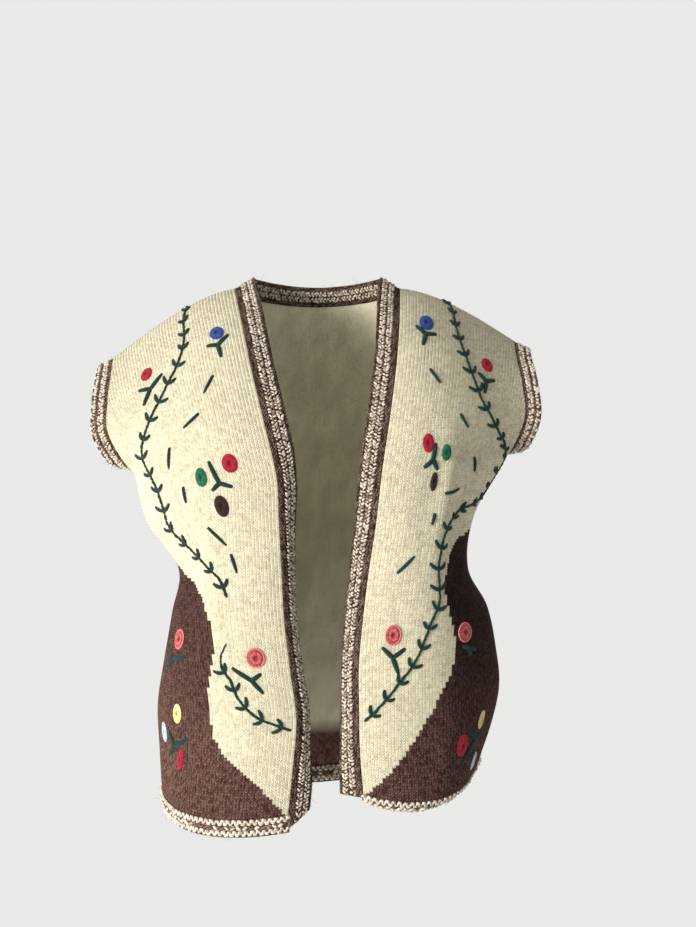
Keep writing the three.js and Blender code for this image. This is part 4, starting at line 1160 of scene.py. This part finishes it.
# %% Vines
STEMS = {  # s and row
    "vine_right_upper": [
        (0.36, 10.9), (0.40, 10.5), (0.42, 9.9), (0.48, 9.4), (0.54, 9.1), (0.61, 8.7),
        (0.68, 8.3), (0.73, 7.85), (0.74, 7.4), (0.67, 7.0), (0.60, 6.6), (0.57, 5.9),
        (0.49, 5.5), (0.41, 5.2), (0.33, 4.9), (0.29, 4.5)],
    "vine_right_lower": [
        (0.30, 3.55), (0.33, 3.3), (0.33, 3.05), (0.29, 2.8), (0.26, 2.4), (0.19, 2.05),
        (0.10, 1.88), (0.025, 1.76)],
    "vine_left": [
        (0.345, 10.96), (0.41, 10.8), (0.46, 10.2), (0.51, 9.65), (0.56, 9.2), (0.64, 8.45),
        (0.71, 8.05), (0.77, 7.6), (0.86, 7.2), (0.94, 6.9), (0.91, 6.62), (0.81, 6.38),
        (0.63, 6.2), (0.49, 6.05), (0.40, 5.85), (0.37, 5.3), (0.38, 4.6), (0.37, 4.2),
        (0.33, 3.85), (0.28, 3.2), (0.23, 2.8), (0.15, 2.3), (0.08, 1.9), (0.025, 1.65)],
}
STEM_STITCH, LEAF_STEP = 6.5, 24.0
BARE = {"vine_right_lower": 24.0}     # mm of thin stem without leaves at the top


def smooth_path(places):
    """Cubic through the places, with the slope (next - before) / 2 at each."""
    p = np.array(places, float)
    p = np.concatenate([2 * p[:1] - p[1:2], p, 2 * p[-1:] - p[-2:-1]])
    t = np.linspace(0, 1, 24, endpoint=False)[:, None]
    parts = [hermite(p[i], p[i + 1], t, (p[i + 1] - p[i - 1]) / 2, (p[i + 2] - p[i]) / 2)
             for i in range(1, len(p) - 2)]
    return np.concatenate(parts + [p[-2:-1]])


def vine(node, places):
    """Stem stitches by length, then for each side and strand a leaf that runs back by lean and
    out by out, arched so that it leaves the stem along it."""
    cloth = panels[node.split("_")[1]]
    path = smooth_path(places)
    along = lengths(on(cloth, path[:, 0], path[:, 1] / SHOULDER))
    whole = along[-1]
    at = lambda mm: np.stack([np.interp(mm, along, path[:, k]) for k in (0, 1)], -1)
    count = int(whole / STEM_STITCH)
    start = np.arange(count) / count * whole
    ends = np.concatenate([at(start - 0.8), at(start + whole / count + 1.2)], 1)
    ends[:, 0] += (rng.random(count) - 0.5) * 0.007
    bare = BARE.get(node, 0.0)
    thick = 1.5 + 0.4 * rng.random(count) - 0.6 * (start < bare)
    groups = [stitches(cloth, ends, thick, lift=1.7)]
    pairs = int((whole - bare) / LEAF_STEP)
    root = bare + (np.arange(pairs) + 0.5) / pairs * (whole - bare)
    s, row = at(root).T
    ahead, behind = (on(cloth, a[:, 0], a[:, 1] / SHOULDER) for a in (at(root + 2), at(root - 2)))
    run_x, _, run_z = unit(ahead - behind).T
    arch = np.stack(moved(cloth, s, row, run_x * 1.8, run_z * 1.8), 1) - at(root)
    for side in (-1, 1):
        lean, out = 5.6 + 2.8 * rng.random(pairs), side * (7.2 + 2.6 * rng.random(pairs))
        x, z = -run_x * lean - run_z * out, -run_z * lean + run_x * out
        size = np.hypot(x, z)
        for strand in (-1.0, 1.0):
            ax, az = -z / size * strand, x / size * strand
            leaf = np.stack([*moved(cloth, s, row, ax * 0.7, az * 0.7),
                             *moved(cloth, s, row, x + ax * 0.4, z + az * 0.4)], 1)
            keep = (leaf[:, 2] > 0.012) & (leaf[:, 2] < 0.988)
            groups.append(stitches(cloth, leaf[keep], 1.75, lift=2.0, arch=arch[keep]))
    sew(node + "_thread", node, groups, "vine", "vine")
    return count, pairs


for node, places in STEMS.items():
    print(node, "has %d stem stitches and %d pairs of leaves" % vine(node, places))

# %% [markdown]
# A sprig's leaf is filled with three strands side by side, so it looks like a fat grain. The
# single stitches scattered between the flowers are made the same way, but thinner.

# %% Sprigs and single stitches
SPRIGS = {  # s, row, then the three tips: right and up in mm
    "right_blue": (0.185, 9.62, -13, 2, 14, 10, 2, -15),
    "right_red": (0.68, 9.03, -15, 2, 15, 14, -9, -18),
    "right_trio": (0.265, 6.84, -12, 24, 15, -4, -9, -9),
    "right_coral": (0.19, 2.82, -22, 14, 12, 8, 12, -15),
    "right_coral_side": (0.67, 3.13, -5, 4, 13, 5, -6, -12),
    "right_low": (0.625, 1.28, -8, 17, 15, 12, -12, -17),
    "left_blue": (0.205, 9.83, -12, 9, 13, 2, -3, -14),
    "left_red": (0.69, 8.93, -9, 9, 11, 3, -3, -14),
    "left_trio": (0.265, 7.12, 4, 20, -10, -8, 6, -12),
    "left_coral": (0.155, 3.12, -13, 12, 14, 10, 7, -20),
    "left_coral_side": (0.55, 3.22, -8, 3, 8, -3, 1, -9),
    "left_low": (0.62, 1.0, -6, 13, -12, -23, 8, 4),
}
DASHES = {  # s, row, half the stitch: right and up in mm
    "right": [(0.28, 8.80, -7, -9.5), (0.41, 8.08, -9.5, -7.5), (0.53, 7.33, 1, -12.5),
              (0.44, 6.58, 1, -9.5), (0.30, 5.73, 9, -10.5), (0.24, 5.20, 2, -11)],
    "left": [(0.28, 8.90, 6.5, -8), (0.49, 7.95, 4, -8), (0.56, 6.93, 2.5, -9),
             (0.41, 6.50, 7.5, 2), (0.31, 6.03, -1, -6.5), (0.19, 5.18, 9, 10)],
}


def grain(cloth, s, row, x0, z0, x1, z1, half, radius):
    """Strands side by side from one point to another: close at the ends, spread by half."""
    length = math.hypot(x1 - x0, z1 - z0) / half
    nx, nz = -(z1 - z0) / length, (x1 - x0) / length
    return [stitches(cloth, [[*moved(cloth, s, row, x0 + nx * k, z0 + nz * k),
                              *moved(cloth, s, row, x1 + nx * k / 2, z1 + nz * k / 2)]],
                     radius, lift=STITCH_LIFT + (0.7 if k == 0 else 0), places=8)
            for k in (-1, 1, 0)]


for title, (s, row, *tips) in SPRIGS.items():
    groups = []
    for x, z in zip(tips[::2], tips[1::2]):
        root = -1.0 / math.hypot(x, z)
        groups += grain(panels[title.split("_")[0]], s, row, x * root, z * root, x, z, 1.5, 1.6)
    sew("sprig_" + title + "_thread", "sprig_" + title, groups, "vine", "vine")
groups = [strand for panel, dashes in DASHES.items() for s, row, x, z in dashes
          for strand in grain(panels[panel], s, row, -x, -z, x, z, 0.95, 1.35)]
sew("single_stitches", None, groups, "vine", "vine")
print(len(SPRIGS), "sprigs and", len(groups) // 3, "single stitches")

# %% [markdown]
# A flower is a wheel: many strands run from the rim over a low dome to a small hollow in the
# middle, and a rope of short stitches closes the rim. The strands of the coral flowers are
# crossed by two inner rings, which gives them the look of a rose.

# %% Flowers
FLOWERS = {  # panel and thread in the name; s, row, width, height, tilt in degrees
    "right_blue": (0.18, 9.9, 16, 20, 0), "right_red_top": (0.71, 9.47, 14, 17, -25),
    "right_green": (0.35, 6.95, 13, 21, 10), "right_red_mid": (0.21, 7.23, 17, 21, 12),
    "right_umber": (0.26, 6.35, 15, 24, 15), "right_coral_front": (0.16, 3.28, 20, 22, -10),
    "right_coral_side": (0.62, 3.55, 18, 23, -10), "right_yellow": (0.60, 1.98, 14, 22, 0),
    "right_sky": (0.75, 1.48, 14, 23, 0), "right_red_low": (0.58, 1.03, 8, 25, -15),
    "left_blue": (0.21, 10.1, 16, 25, 0), "left_red_top": (0.71, 9.38, 14, 18, 10),
    "left_red_mid": (0.24, 7.48, 12, 21, 0), "left_green": (0.34, 7.25, 10, 18, -10),
    "left_umber": (0.28, 6.70, 7, 21, 0), "left_coral_front": (0.15, 3.60, 17, 23, 0),
    "left_coral_side": (0.52, 3.58, 20, 22, 0), "left_yellow": (0.66, 1.40, 13, 21, -12),
    "left_red_low": (0.52, 0.97, 17, 25, 0), "left_sky": (0.66, 0.43, 8, 20, -28),
}
SPOKE_TONES = {  # from the rim, 0, to the middle, 1: how light the thread is
    "plain": [(0, 0.6), (0.2, 0.95), (0.6, 0.85), (0.85, 0.3), (1, 0)],
    "coral": [(0, 0.9), (0.12, 0.9), (0.24, 0.25), (0.4, 0.8), (0.65, 0.7), (0.8, 0.1), (1, 0)],
}
RINGS = {"plain": [(0.98, 1.6)], "coral": [(1.0, 2.2), (0.72, 2.6)]}    # share and height


def flower(title, s, row, wide, high, tilt):
    """Spokes and rings on an ellipse: x = share wide/2 cos(angle), z = share high/2 sin(angle),
    turned by the tilt."""
    panel, thread = title.split("_")[:2]
    cloth, tilt = panels[panel], math.radians(tilt)
    kind = "coral" if thread == "coral" else "plain"

    def wheel(share, angle, lift):
        a, b = share * np.cos(angle) * wide / 2, share * np.sin(angle) * high / 2
        s1, row1 = moved(cloth, s, row, a * math.cos(tilt) - b * math.sin(tilt),
                         a * math.sin(tilt) + b * math.cos(tilt), level=False)
        return on(cloth, s1, row1 / SHOULDER, lift), facing(cloth, s1, row1 / SHOULDER)
    rim = math.pi * (wide + high) / 2
    spokes = int(rim / 2.1)
    t = np.linspace(0, 1, 7)[None]
    turn = 2 * np.pi * (np.arange(spokes) + 0.3 * rng.random(spokes))[:, None] / spokes
    dome = 0.4 + 1.9 * np.sin(np.pi * np.clip(t * 0.72 + 0.1, 0, 1)) ** 0.8
    radius = np.tile([1.0, 1.1, 1.1, 1.0, 0.9, 0.8, 0.7], (spokes, 1))
    tones = np.interp(t, *np.array(SPOKE_TONES[kind]).T) * (0.7 + 0.3 * rng.random((spokes, 1)))
    groups = [(*wheel(0.97 - 0.87 * t, turn + 0.5 * t ** 2, dome), radius, tones)]
    t = np.linspace(-0.62, 0.62, 7)[None]
    for share, height in RINGS[kind]:
        count = max(7, int(rim * share / 3.2))
        turn = 2 * np.pi * (np.arange(count)[:, None] + t) / count
        tone = np.full(turn.shape, 0.9 if share > 0.9 else 0.25)
        groups.append((*wheel(share + 0.05 * t, turn, height * np.cos(t * 1.9) ** 0.5),
                       np.full(turn.shape, 0.85), tone))
    sew("flower_" + title + "_thread", "flower_" + title, groups, thread, thread)
    return spokes


print(sum(flower(title, *item) for title, item in FLOWERS.items()), "threads in the flowers")
